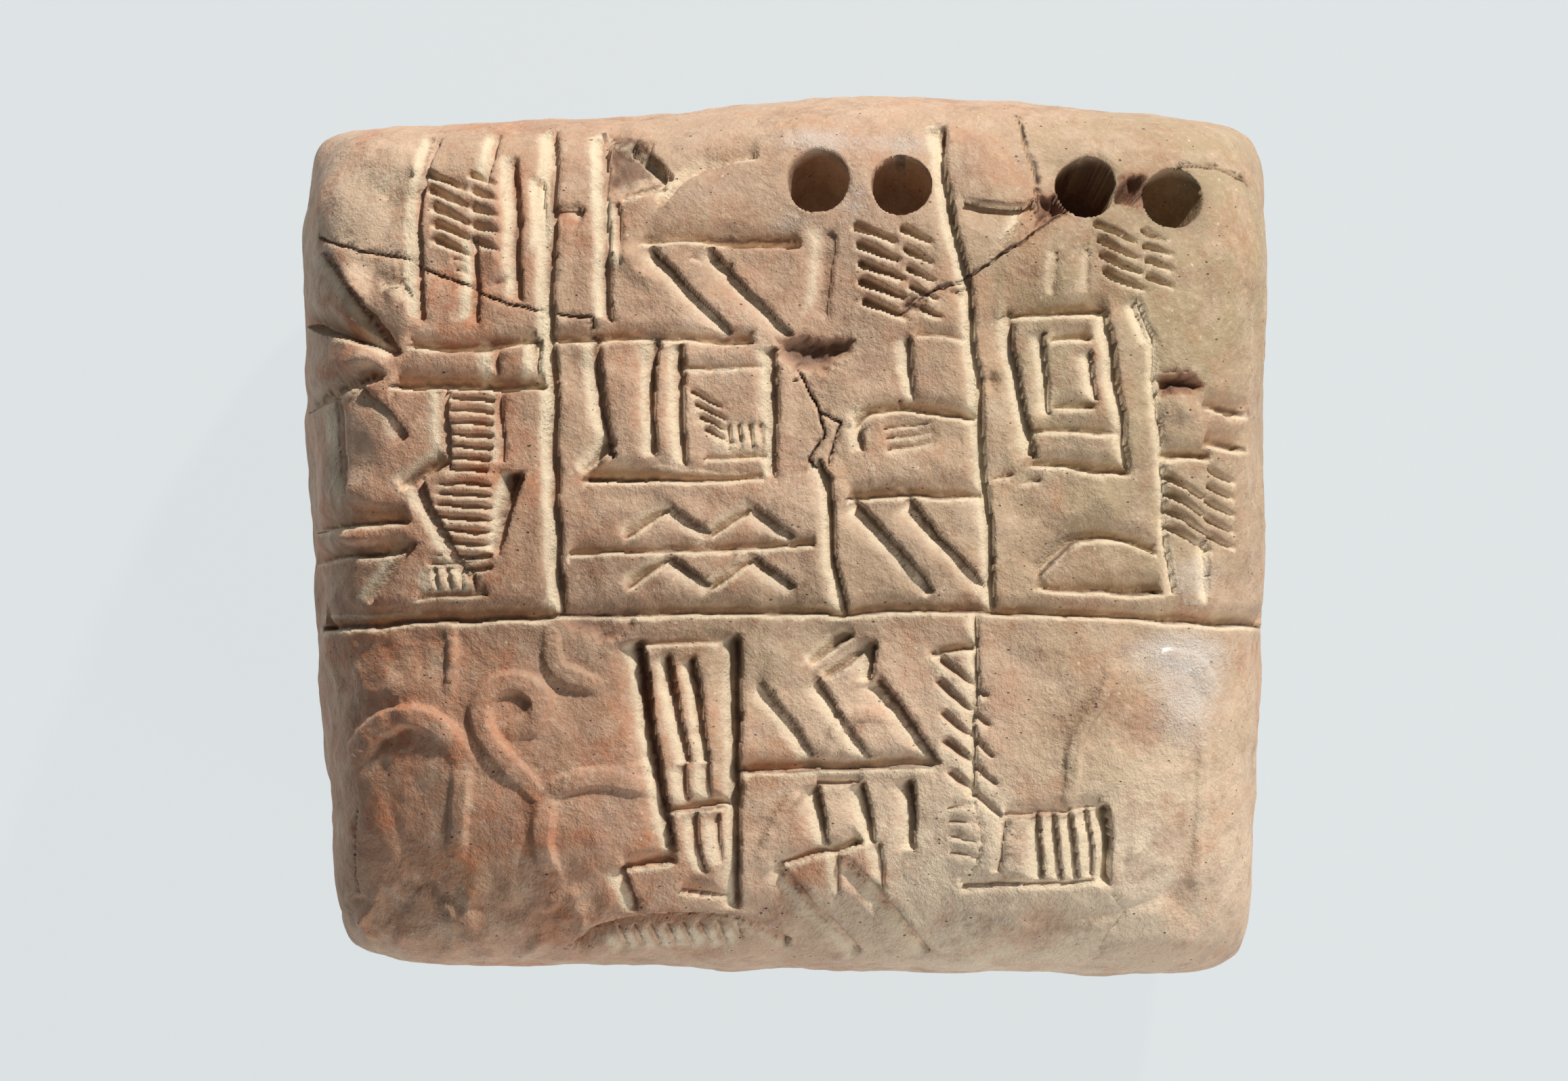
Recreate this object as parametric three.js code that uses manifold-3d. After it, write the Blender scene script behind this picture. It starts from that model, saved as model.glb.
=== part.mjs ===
// A thick, cushion-shaped clay account tablet, lying on its back with its written face up.
// One solid of clay: ruled cases, rows of wedge strokes, round number pits, the raised figures of a
// rolled seal, and the cracks and chips of a mended break.
//
// Frame: millimetres, +Z up out of the written face, +Y towards the tablet's top edge, +X to the
// reader's right. The origin is the middle of the underside, on the flat spot it rests on.
import * as THREE from "three";
import { mergeVertices } from "three/addons/utils/BufferGeometryUtils.js";
import Module from "manifold-3d";

const wasm = await Module();
wasm.setup();

// ---------------------------------------------------------------- driving dimensions

const WIDTH = 60; // widest, near the top edge
const HEIGHT = 54.9; // tallest, right of the middle
const CROWN_Z = 41.15; // the middle of the written face, above the underside

const WAIST_Z = 20; // height of the widest level above the underside
const FACE_RISE = CROWN_Z - WAIST_Z; // waist to the crown of the written face
const BACK_DROP = WAIST_Z + 0.3; // waist to the crown of the back, before the flat spot is cut
const EDGE_POWER = 5; // how squarely the faces turn into the sides
const CORNER_POWER_WAIST = 24; // how square the outline is at the waist
const CORNER_POWER_FACE = 4.5; // and towards the crowns, where the corners soften

const FACE_FACETS = 12; // facets of the body across and up, closest together at the edges
const SIDE_FACETS = 8; // and through its thickness

const CLAY = { color: 0xb9977a, roughness: 0.85, metalness: 0 };

const NUMBER_PIT = { radius: 1.85, depth: 5.2, taper: 0.86, sides: 16 };
const RULE = { width: 0.75, depth: 0.8 }; // a case line, drawn with the edge of the reed
const STROKE_LIFT = 0.4; // how far a cutting wedge stands out of the face
const STEEP_SIDE = new THREE.Vector3(0.83, -0.55, 0); // the reed slants, so walls stand up on this side
const STROKE_LEAN = 0.35; // how far a stroke's bottom lies off its middle, of its half width
const STATION_SPACING = 5; // and the longest straight length of one

// ---------------------------------------------------------------- the cushion

// The outline leans: each side is a slow curve along its length, and the top swells to a low hump.
const rightEdge = (y) => WIDTH / 2 - 0.13 + 0.02 * y - 0.0003 * y * y;
const leftEdge = (y) => -WIDTH / 2 + 0.71 - 0.046 * y + 0.0008 * y * y;
const topEdge = (x) => HEIGHT / 2 - 2 + 1.8 * Math.exp(-(((x - 6) / 17) ** 2));
const bottomEdge = (x) => -HEIGHT / 2 + 0.4 - 0.012 * x;
const halfWidth = (y) => (rightEdge(y) - leftEdge(y)) / 2;
const middleX = (y) => (rightEdge(y) + leftEdge(y)) / 2;
const halfHeight = (x) => (topEdge(x) - bottomEdge(x)) / 2;
const middleY = (x) => (topEdge(x) + bottomEdge(x)) / 2;

// A superquadric in units of its half sizes, whose corner power falls from the waist to the crowns.
function cornerPower(u, v, w) {
  const across = Math.max(Math.abs(u), Math.abs(v), 1e-6);
  const towardsFace = Math.min(1, Math.abs(w) / across);
  return CORNER_POWER_WAIST + (CORNER_POWER_FACE - CORNER_POWER_WAIST) * towardsFace ** 0.7;
}

function reach(u, v, w) {
  const m = cornerPower(u, v, w);
  const outline = (Math.abs(u) ** m + Math.abs(v) ** m) ** (1 / m);
  return (outline ** EDGE_POWER + Math.abs(w) ** EDGE_POWER) ** (1 / EDGE_POWER);
}

// The point of the cushion that lies in direction (a, b, c) from its middle.
function cushionPoint(a, b, c) {
  const r = reach(a, b, c);
  const [u, v, w] = [a / r, b / r, c / r];
  let x = (u * WIDTH) / 2;
  let y = (v * HEIGHT) / 2;
  for (let step = 0; step < 6; step++) {
    x = middleX(y) + u * halfWidth(y);
    y = middleY(x) + v * halfHeight(x);
  }
  const z = WAIST_Z + w * (w > 0 ? FACE_RISE : BACK_DROP);
  return new THREE.Vector3(x, y, Math.max(z, 0));
}

// Height of the written face above (x, y): the level w at which the cushion's reach is 1.
function faceZ(x, y) {
  const u = (x - middleX(y)) / halfWidth(y);
  const v = (y - middleY(x)) / halfHeight(x);
  let [low, high] = [0, 1];
  for (let step = 0; step < 30; step++) {
    const middle = (low + high) / 2;
    if (reach(u, v, middle) > 1) high = middle;
    else low = middle;
  }
  return WAIST_Z + FACE_RISE * low;
}

const onFace = ([x, y], lift = 0) => new THREE.Vector3(x, y, faceZ(x, y) + lift);

// The unit vector that points out of the face at (x, y).
function faceNormal(x, y) {
  const h = 0.05;
  return new THREE.Vector3(
    faceZ(x - h, y) - faceZ(x + h, y),
    faceZ(x, y - h) - faceZ(x, y + h),
    2 * h,
  ).normalize();
}

// The body's mesh: a box cut into facets, each corner of them pushed out to the cushion.
function cushionGeometry() {
  const box = new THREE.BoxGeometry(2, 2, 2, FACE_FACETS, FACE_FACETS, SIDE_FACETS);
  const place = box.getAttribute("position");
  const crowd = (t) => Math.sin((t * Math.PI) / 2);
  for (let i = 0; i < place.count; i++) {
    const p = cushionPoint(crowd(place.getX(i)), crowd(place.getY(i)), crowd(place.getZ(i)));
    place.setXYZ(i, p.x, p.y, p.z);
  }
  return box;
}

// ---------------------------------------------------------------- solids for cutting and joining

function solidOf(geometry) {
  const bare = geometry.clone();
  bare.deleteAttribute("normal");
  bare.deleteAttribute("uv");
  const merged = mergeVertices(bare, 1e-4);
  return new wasm.Manifold(
    new wasm.Mesh({
      numProp: 3,
      vertProperties: merged.getAttribute("position").array,
      triVerts: new Uint32Array(merged.index.array),
    }),
  );
}

// A solid through a chain of like rings of points, closed at both ends. Each ring turns clockwise
// for an eye that looks along the chain.
function loft(rings) {
  const sides = rings[0].length;
  const index = [];
  for (let i = 1; i < rings.length; i++) {
    for (let k = 0; k < sides; k++) {
      const [a, b] = [(i - 1) * sides + k, (i - 1) * sides + ((k + 1) % sides)];
      index.push(a, b, b + sides, a, b + sides, a + sides);
    }
  }
  const last = (rings.length - 1) * sides;
  for (let k = 1; k < sides - 1; k++) {
    index.push(0, k + 1, k, last, last + k, last + k + 1);
  }
  const geometry = new THREE.BufferGeometry().setFromPoints(rings.flat());
  geometry.setIndex(index);
  return solidOf(geometry);
}

// The route as closely spaced stations: each a place, the direction there and the share run.
function stationsAlong(route, spacing) {
  const points = route.map(([x, y]) => new THREE.Vector3(x, y, 0));
  const path = new THREE.CurvePath();
  points.slice(1).forEach((end, i) => path.add(new THREE.LineCurve3(points[i], end)));
  const total = path.getLength();
  let run = 0;
  const places = [{ at: points[0], share: 0 }];
  points.slice(1).forEach((end, i) => {
    const length = end.distanceTo(points[i]);
    const parts = Math.ceil(length / spacing);
    for (let k = 1; k <= parts; k++) {
      const at = points[i].clone().lerp(end, k / parts);
      places.push({ at, share: (run + (length * k) / parts) / total });
    }
    run += length;
  });
  return places.map((place, i) => {
    const before = places[Math.max(i - 1, 0)].at;
    const after = places[Math.min(i + 1, places.length - 1)].at;
    return { ...place, along: after.clone().sub(before).normalize() };
  });
}

// A stroke of the reed: a V-sided groove from its deep, blunt head to its tail. width and depth
// are the head's, and tail is the share of them that is left at the far end.
function stroke(route, { width, depth, tail = 1 }) {
  const rings = stationsAlong(route, STATION_SPACING).map(({ at, along, share }) => {
    const side = new THREE.Vector3(-along.y, along.x, 0);
    const size = 1 + (tail - 1) * share;
    const half = (width / 2) * (size + STROKE_LIFT / depth);
    const lip = onFace([at.x, at.y], STROKE_LIFT);
    const lean = Math.sign(side.dot(STEEP_SIDE)) * STROKE_LEAN * half;
    return [
      lip.clone().addScaledVector(side, half),
      lip.clone().addScaledVector(side, -half),
      onFace([at.x + lean * side.x, at.y + lean * side.y], -depth * size),
    ];
  });
  return loft(rings);
}

const wedge = ({ head, end, width, depth, tail = 0.45 }) =>
  stroke([head, end], { width, depth, tail });

// A row of like strokes: count of them, their heads step apart, each running by run.
function row({ first, step, run, count, width, depth, tail }) {
  return Array.from({ length: count }, (_, i) => {
    const head = [first[0] + i * step[0], first[1] + i * step[1]];
    return wedge({ head, end: [head[0] + run[0], head[1] + run[1]], width, depth, tail });
  });
}

// A zigzag of strokes that climb and fall by turns.
function zigzag({ start, stride, rise, count, width, depth }) {
  return Array.from({ length: count }, (_, i) => {
    const head = [start[0] + i * stride, start[1] + (i % 2) * rise];
    const end = [head[0] + stride, start[1] + ((i + 1) % 2) * rise];
    return wedge({ head, end, width, depth, tail: 0.8 });
  });
}

// A round pit, pressed square to the face with the butt of the reed.
function numberPit(x, y) {
  const { radius, depth, taper, sides } = NUMBER_PIT;
  const lift = 1.6;
  const barrel = new THREE.CylinderGeometry(radius, radius * taper, depth + lift, sides);
  barrel.translate(0, (lift - depth) / 2, 0);
  const turn = new THREE.Quaternion().setFromUnitVectors(
    new THREE.Vector3(0, 1, 0),
    faceNormal(x, y),
  );
  barrel.applyQuaternion(turn);
  const centre = onFace([x, y]);
  barrel.translate(centre.x, centre.y, centre.z);
  return solidOf(barrel);
}

// A raised band of a seal figure, flat on top, along a smooth curve.
function band(route, { width, height, lengths }) {
  const curve = new THREE.CatmullRomCurve3(route.map(([x, y]) => new THREE.Vector3(x, y, 0)));
  const rings = Array.from({ length: lengths + 1 }, (_, i) => {
    const at = curve.getPoint(i / lengths);
    const along = curve.getTangent(i / lengths);
    const side = new THREE.Vector3(-along.y, along.x, 0);
    const fade = i % lengths ? 1 : 0.5;
    const root = onFace([at.x, at.y], -0.6);
    const top = onFace([at.x, at.y], height);
    return [
      top.clone().addScaledVector(side, 0.3 * width * fade),
      top.clone().addScaledVector(side, -0.3 * width * fade),
      root.clone().addScaledVector(side, -0.7 * width * fade),
      root.clone().addScaledVector(side, 0.7 * width * fade),
    ];
  });
  return loft(rings);
}

// A low mound: the part of a flattened ball that stands out of the face.
function mound([x, y], { length, width, height, turn = 0 }) {
  const ball = new THREE.SphereGeometry(1, 12, 8);
  const sunk = 1;
  ball.scale(length / 2, width / 2, height + sunk);
  ball.rotateZ(THREE.MathUtils.degToRad(turn));
  const at = onFace([x, y], -sunk);
  ball.translate(at.x, at.y, at.z);
  return solidOf(ball);
}

// A chip: a many-sided pocket with a rough floor, given by its rim, clockwise, and its depth.
function chip(rim, depth) {
  const mean = (axis) => rim.reduce((sum, p) => sum + p[axis], 0) / rim.length;
  const [cx, cy] = [mean(0), mean(1)];
  const floor = rim.map(([x, y], i) =>
    onFace([cx + 0.7 * (x - cx), cy + 0.7 * (y - cy)], -depth * (0.7 + 0.3 * (i % 2))),
  );
  return loft([rim.map((place) => onFace(place, 0.8)), floor]);
}

// ---------------------------------------------------------------- the written face

// The cases are bounded by these lines. The long one sags a little towards the sides.
const REGISTER_Y = -4.5;
const registerLine = (x) => REGISTER_Y - 0.0012 * x * x;
const COLUMN_ONE = [[-13.9, 24.2], [-13.9, 22.6], [-13.9, 20], [-13.8, 3], [-13.3, -4.7]];
const COLUMN_TWO = [[9.2, 24.6], [9.5, 22.4], [10.4, 16], [11.5, 8.5], [12.1, 2.4], [12.3, -4.6]];
const COLUMN_THREE = [[21.5, 13.9], [22.1, 9], [22.1, 2.4], [22.8, -4.2]];

function rules() {
  const stops = Array.from({ length: 15 }, (_, i) => 27.8 * Math.sin(((i / 7 - 1) * Math.PI) / 2));
  return [
    stroke(stops.map((x) => [x, registerLine(x)]), RULE),
    stroke(COLUMN_ONE, RULE),
    stroke(COLUMN_TWO, { width: 0.9, depth: 0.9 }),
    stroke(COLUMN_THREE, { width: 0.55, depth: 0.5 }),
    stroke([[-13.9, 11.8], [-8, 11.6], [-0.8, 11.8]], RULE),
    stroke([[2.3, 3.6], [3, 0.2], [3.4, -4.5]], { width: 0.9, depth: 1 }),
    stroke([[-3.1, -6.2], [-3, -21.6]], { width: 1, depth: 1.1 }),
  ];
}

// Case one, upper left: two columns of slanting strokes between long uprights.
function firstCase() {
  const slants = { step: [0.06, -0.95], run: [2.1, -1.05], width: 0.62, depth: 0.65 };
  return [
    ...row({ first: [-21.2, 21.9], count: 5, ...slants }),
    ...row({ first: [-18.6, 21.6], count: 4, ...slants, run: [1.3, -0.65] }),
    ...row({ first: [-21.4, 24.2], step: [5.4, -2.6], run: [-0.1, -10.4], count: 2, width: 0.8, depth: 0.8 }),
    ...row({ first: [-18.9, 17.2], step: [2.5, -2.6], run: [0, -3.9], count: 2, width: 0.7, depth: 0.6 }),
  ];
}

// Case two, below it: a barred band, then two stacks of level strokes and a short comb.
function secondCase() {
  return [
    ...row({ first: [-15.2, 11.6], step: [0, -2.5], run: [-7.1, 0.3], count: 2, width: 0.9, depth: 0.8 }),
    ...row({ first: [-21.7, 11.4], step: [4.1, -0.1], run: [0, -2.1], count: 2, width: 0.6, depth: 0.6 }),
    ...row({ first: [-17.5, 7.9], step: [0, -0.85], run: [-2.7, -0.15], count: 4, width: 0.5, depth: 0.5 }),
    ...row({ first: [-20.6, 8.4], step: [3.5, 0], run: [-0.1, -4.4], count: 2, width: 0.5, depth: 0.5 }),
    ...row({ first: [-17.6, 3], step: [-0.05, -0.85], run: [-3.4, -0.1], count: 6, width: 0.5, depth: 0.5 }),
    wedge({ head: [-22.6, 2.8], end: [-19.6, -1.5], width: 0.9, depth: 0.9 }),
    wedge({ head: [-15.9, 3.5], end: [-16.6, -0.4], width: 1.2, depth: 1.2 }),
    ...row({ first: [-21.4, -2], step: [1, 0], run: [0.4, -1.5], count: 3, width: 0.6, depth: 0.6 }),
  ];
}

// The left margin, where bold strokes run over the edge of the cushion.
function leftMargin() {
  return [
    wedge({ head: [-27.6, 16.8], end: [-24, 11.1], width: 1.1, depth: 1.1, tail: 0.9 }),
    wedge({ head: [-23.9, 11.4], end: [-27, 12.5], width: 0.9, depth: 0.9, tail: 0.8 }),
    wedge({ head: [-24.6, 10], end: [-27.3, 9], width: 1, depth: 0.9, tail: 0.8 }),
    wedge({ head: [-26.6, 7.9], end: [-26.4, 2.6], width: 0.8, depth: 0.7, tail: 0.8 }),
    ...row({ first: [-23, 1], step: [-0.2, -1.7], run: [-3.4, -0.4], count: 2, width: 0.9, depth: 0.9 }),
    wedge({ head: [-22.8, -0.6], end: [-25.3, -4], width: 0.8, depth: 0.6, tail: 0.6 }),
  ];
}

// Case three, top middle: bold slanting strokes under a level one, with number pits to the right.
function thirdCase() {
  return [
    wedge({ head: [-10.7, 23.8], end: [-10.8, 13.2], width: 0.8, depth: 0.7 }),
    wedge({ head: [0.6, 17.8], end: [-8, 17.3], width: 1.3, depth: 1.1, tail: 0.35 }),
    ...row({ first: [-8, 16.6], step: [3.3, 0], run: [4.3, -4], count: 2, width: 0.8, depth: 0.8 }),
    ...row({ first: [4, 19.1], step: [0.12, -1.3], run: [2.2, -1.1], count: 5, width: 0.7, depth: 0.8 }),
    ...row({ first: [7, 18.2], step: [0.06, -1.3], run: [1.5, -0.75], count: 4, width: 0.7, depth: 0.7 }),
  ];
}

// Case four, middle: nested brackets, a deep level stroke, and two zigzags either side of a line.
function fourthCase() {
  const fold = { stride: 2.45, rise: 1.6, count: 4, width: 0.7, depth: 0.75 };
  return [
    wedge({ head: [-11.3, 11.2], end: [-10.5, 5.9], width: 0.8, depth: 0.7 }),
    ...row({ first: [-8, 11.3], step: [1.7, -0.1], run: [0.1, -6.3], count: 2, width: 0.8, depth: 0.8 }),
    wedge({ head: [-6.2, 9.4], end: [-1.3, 9.2], width: 0.7, depth: 0.7 }),
    wedge({ head: [-0.8, 9.8], end: [-0.7, 3.6], width: 0.8, depth: 0.8 }),
    ...row({ first: [-4.4, 6.9], step: [0.75, -0.05], run: [0.1, -1.9], count: 4, width: 0.5, depth: 0.55 }),
    wedge({ head: [-11.9, 3.6], end: [-4.4, 3.2], width: 1.1, depth: 1.1, tail: 0.35 }),
    wedge({ head: [-10.4, 5.9], end: [-11.6, 4], width: 0.9, depth: 1, tail: 0.4 }),
    ...zigzag({ start: [-9.5, 0.1], ...fold }),
    ...zigzag({ start: [-9.5, -3.2], ...fold }),
    stroke([[-12.9, -1], [1.2, -0.5]], { width: 0.6, depth: 0.6 }),
  ];
}

// Case five, right of the broken line: a hooked stroke, then slanting strokes under a level one.
function fifthCase() {
  return [
    wedge({ head: [7.2, 11.3], end: [7.7, 8.1], width: 0.8, depth: 0.6 }),
    stroke([[4.1, 6.9], [5.1, 7.7], [7.6, 7.8], [10.6, 7.4]], { width: 0.8, depth: 0.8 }),
    ...row({ first: [6.1, 6.9], step: [0.3, -1.1], run: [2.9, -0.2], count: 2, width: 0.6, depth: 0.5 }),
    wedge({ head: [11.7, 2.4], end: [4, 2.2], width: 0.9, depth: 0.9 }),
    ...row({ first: [4.1, 1.6], step: [3.4, 0], run: [4.1, -5.2], count: 2, width: 1, depth: 1, tail: 0.6 }),
  ];
}

// Case six, upper right: slanting strokes below two more pits.
function sixthCase() {
  const slants = { step: [0.06, -0.95], width: 0.6, depth: 0.65 };
  return [
    ...row({ first: [18.8, 19], run: [2.3, -1.15], count: 5, ...slants }),
    ...row({ first: [21.7, 18.7], run: [1.4, -0.7], count: 4, ...slants }),
    wedge({ head: [21.4, 15.2], end: [20.3, 13.8], width: 0.8, depth: 0.7 }),
  ];
}

// Case seven, middle right: open brackets, a bow over a level stroke, and a slanting column.
function seventhCase() {
  return [
    wedge({ head: [19.5, 13.8], end: [13.4, 13.4], width: 1, depth: 1 }),
    ...row({ first: [13.2, 13.5], step: [6.1, -0.2], run: [1.6, -8.6], count: 2, width: 0.75, depth: 0.7 }),
    ...row({ first: [18.1, 11.8], step: [0.9, -4.2], run: [-2.3, -0.2], count: 2, width: 0.8, depth: 0.7 }),
    ...row({ first: [15.7, 10.2], step: [2.1, 0.5], run: [0.9, -2.6], count: 2, width: 0.8, depth: 0.7 }),
    ...row({ first: [20.4, 6.3], step: [0.3, -2.4], run: [-5.9, 0.3], count: 2, width: 1, depth: 0.9 }),
    stroke([[15.1, -2], [17.2, -0.2], [19.3, 0.4], [22, -0.7]], { width: 0.7, depth: 0.8 }),
    wedge({ head: [22.6, -3.2], end: [14.4, -3], width: 1, depth: 1, tail: 0.4 }),
    ...row({ first: [22.9, 4], step: [0.15, -1.05], run: [2.1, -1.5], count: 4, width: 0.6, depth: 0.55 }),
    ...row({ first: [25.4, 4.2], step: [0.05, -1.05], run: [1.4, -0.9], count: 4, width: 0.6, depth: 0.55 }),
    wedge({ head: [25.2, 0.1], end: [25.5, -4.6], width: 0.7, depth: 0.5 }),
    ...row({ first: [28, 7.5], step: [0.1, -2.1], run: [-2.4, 0.9], count: 2, width: 1, depth: 0.6 }),
  ];
}

// The lower register: a tall comb, bold slanting strokes, a feathered row and a barred row.
function lowerRegister() {
  return [
    wedge({ head: [-9.3, -6.4], end: [-6.6, -19.3], width: 1.1, depth: 1.2, tail: 0.6 }),
    wedge({ head: [-3.5, -6.2], end: [-8.9, -6.2], width: 0.7, depth: 0.7, tail: 0.8 }),
    ...row({ first: [-7.2, -7.3], step: [1.5, 0], run: [1.1, -6], count: 2, width: 0.7, depth: 0.8 }),
    wedge({ head: [-3.1, -16.3], end: [-7.2, -16.4], width: 0.8, depth: 0.8 }),
    ...row({ first: [-6.4, -16.9], step: [1.3, 0], run: [0.9, -3.4], count: 2, width: 0.7, depth: 0.6 }),
    wedge({ head: [-3.1, -21.4], end: [-9.2, -19.6], width: 0.7, depth: 0.6 }),
    ...row({ first: [5.6, -5.2], step: [-1.6, -0.9], run: [-2.4, -1.5], count: 3, width: 0.9, depth: 0.8 }),
    wedge({ head: [5.6, -6.2], end: [5.6, -8.8], width: 0.9, depth: 1 }),
    ...row({ first: [-1.6, -8.9], step: [3.5, 0], run: [3.4, -4.6], count: 3, width: 0.9, depth: 0.9 }),
    wedge({ head: [9, -13.9], end: [-2.6, -14], width: 0.8, depth: 0.8, tail: 0.9 }),
    ...row({ first: [1.8, -15.2], step: [2.8, 0], run: [0.5, -3.1], count: 3, width: 0.9, depth: 1 }),
    wedge({ head: [5.3, -18.4], end: [-0.8, -19.6], width: 0.8, depth: 0.8 }),
    ...row({ first: [-0.7, -19.9], step: [4.4, 0.3], run: [5.4, -5.4], count: 2, width: 0.9, depth: 0.8 }),
    ...row({ first: [2.6, -18.8], step: [2.8, 0], run: [0.6, -2.6], count: 2, width: 0.7, depth: 0.6 }),
    ...row({ first: [8.9, -6.8], step: [0.15, -1.9], run: [3.2, -2.9], count: 5, width: 0.8, depth: 0.7 }),
    wedge({ head: [12.2, -6.2], end: [8.6, -7.1], width: 0.8, depth: 0.8 }),
    wedge({ head: [19.4, -16.2], end: [19.3, -20.7], width: 0.9, depth: 1, tail: 0.8 }),
    ...row({ first: [15, -16.8], step: [0.9, 0.08], run: [0.25, -3.5], count: 4, width: 0.7, depth: 0.7 }),
    wedge({ head: [19.2, -16.3], end: [13, -17.1], width: 0.6, depth: 0.5 }),
    wedge({ head: [19.1, -20.5], end: [10.9, -21.2], width: 0.6, depth: 0.5 }),
    ...row({ first: [-11.6, -24.1], step: [1.15, 0.03], run: [0.7, -1.1], count: 9, width: 0.6, depth: 0.7 }),
  ];
}

// ---------------------------------------------------------------- the seal and the damage

// What the rolled seal left standing: hunting dogs with curled tails on the left, and parts of
// larger figures on the right.
function sealFigures() {
  const curledTail = [
    [-14.6, -15.8], [-17.6, -12.9], [-18.5, -10.6], [-16.8, -8.9], [-15.1, -10.1], [-15.8, -12],
  ];
  const archedNeck = [[-24.3, -11.4], [-22, -10.8], [-20.4, -12.2], [-19.5, -14.8], [-18.6, -19.4]];
  const hookedStaff = [[21, -8.4], [23.2, -7.2], [25.4, -8.6], [25, -13], [24.9, -21]];
  return [
    band(curledTail, { width: 1.5, height: 0.4, lengths: 10 }),
    band(archedNeck, { width: 1.8, height: 0.35, lengths: 8 }),
    band([[-14.4, -16.2], [-11.6, -15.6], [-8.8, -16.2]], { width: 2.8, height: 0.45, lengths: 4 }),
    band([[-14.2, -16.4], [-14.4, -19], [-13, -21.4]], { width: 1.7, height: 0.35, lengths: 3 }),
    band([[-20.2, -6.2], [-20.1, -10.2]], { width: 1.2, height: 0.35, lengths: 1 }),
    band([[-13.9, -6.4], [-13.3, -8.4], [-11.3, -8.5]], { width: 1.3, height: 0.4, lengths: 4 }),
    band([[19.9, -8.6], [18.6, -10.8], [17.6, -15.4]], { width: 2.2, height: 0.4, lengths: 4 }),
    band(hookedStaff, { width: 1.6, height: 0.3, lengths: 6 }),
    mound([-5, 20.6], { length: 5.6, width: 3, height: 0.5, turn: 20 }),
    mound([-20.8, -22.6], { length: 5, width: 3, height: 0.35, turn: -15 }),
    mound([15, 17.4], { length: 5, width: 4.4, height: 0.35 }),
  ];
}

// Cracks where the mended pieces meet.
function cracks() {
  const fine = { width: 0.45, depth: 1 };
  const leftMend = [
    [-28.4, 17.9], [-24.6, 17], [-21.9, 16], [-18.6, 14.9], [-15.6, 13.9], [-11.7, 13.1], [-11.4, 11.9],
  ];
  return [
    stroke(leftMend, fine),
    stroke([[13.9, 25], [15, 21.6], [15.2, 18.8], [12.9, 16.6], [10.6, 15.1]], { width: 0.6, depth: 1.2 }),
    stroke([[22, 21.1], [23.6, 22.4], [26.4, 22.1], [28.6, 20.9]], fine),
    stroke([[6.9, 13.2], [8.6, 14.4], [10.6, 15.1]], fine),
    stroke([[11.3, -4.6], [11.4, -11], [11.1, -17], [10.9, -21.2]], { width: 0.3, depth: 0.6 }),
    stroke([[19.2, -21], [20.4, -22], [19.4, -23.6], [18.4, -25.2]], { width: 0.3, depth: 0.5 }),
    stroke([[0.2, 9.2], [1.9, 7.2], [3, 5.6], [2.3, 3.6]], { width: 0.6, depth: 1 }),
  ];
}

// Chips where clay is gone: along the breaks, at the middle, in the right column and at the foot.
function chips() {
  return [
    chip([[-0.8, 11.9], [1.4, 12.1], [4.4, 11.9], [4, 11], [2.6, 9.9], [0.4, 10]], 1.5),
    chip([[22.2, 10.2], [23.8, 10], [25.2, 9.1], [24.8, 7.9], [22.4, 8.1]], 1.3),
    chip([[19, 21.4], [21.2, 22.3], [23.2, 21.6], [22.8, 19.8], [19.4, 20.2]], 1.4),
    chip([[15, 20.8], [17.4, 20.9], [17.6, 19.6], [15.2, 18.3]], 1.2),
    chip([[-12.6, -24.6], [-10, -22.9], [-6, -22.4], [-2.6, -23], [-0.2, -24.3], [-6, -25]], 0.6),
    chip([[-10.2, 24], [-8.6, 23.6], [-7.2, 21.6], [-8.4, 20.4], [-10.2, 20.6]], 0.9),
  ];
}

// ---------------------------------------------------------------- the tablet

function tabletGeometry() {
  const raised = wasm.Manifold.union([solidOf(cushionGeometry()), ...sealFigures()]);
  const cuts = wasm.Manifold.union([
    ...rules(),
    ...firstCase(),
    ...secondCase(),
    ...leftMargin(),
    ...thirdCase(),
    ...fourthCase(),
    ...fifthCase(),
    ...sixthCase(),
    ...seventhCase(),
    ...lowerRegister(),
    ...cracks(),
    ...chips(),
    numberPit(2, 21.4),
    numberPit(7.1, 21.2),
    numberPit(18.3, 21),
    numberPit(23.5, 20.3),
  ]);
  const mesh = raised.subtract(cuts).getMesh();
  const geometry = new THREE.BufferGeometry();
  geometry.setAttribute("position", new THREE.BufferAttribute(mesh.vertProperties, mesh.numProp));
  geometry.setIndex(new THREE.BufferAttribute(mesh.triVerts, 1));
  geometry.computeBoundingBox();
  const middle = geometry.boundingBox.getCenter(new THREE.Vector3());
  geometry.translate(-middle.x, -middle.y, -geometry.boundingBox.min.z);
  geometry.computeVertexNormals();
  return geometry;
}

const tablet = new THREE.Mesh(tabletGeometry(), new THREE.MeshStandardMaterial(CLAY));
tablet.name = "tablet";

const model = new THREE.Group();
model.add(tablet);

export default model;
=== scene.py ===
import logging
import math
from dataclasses import dataclass, field
from typing import Iterable, Sequence

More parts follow.
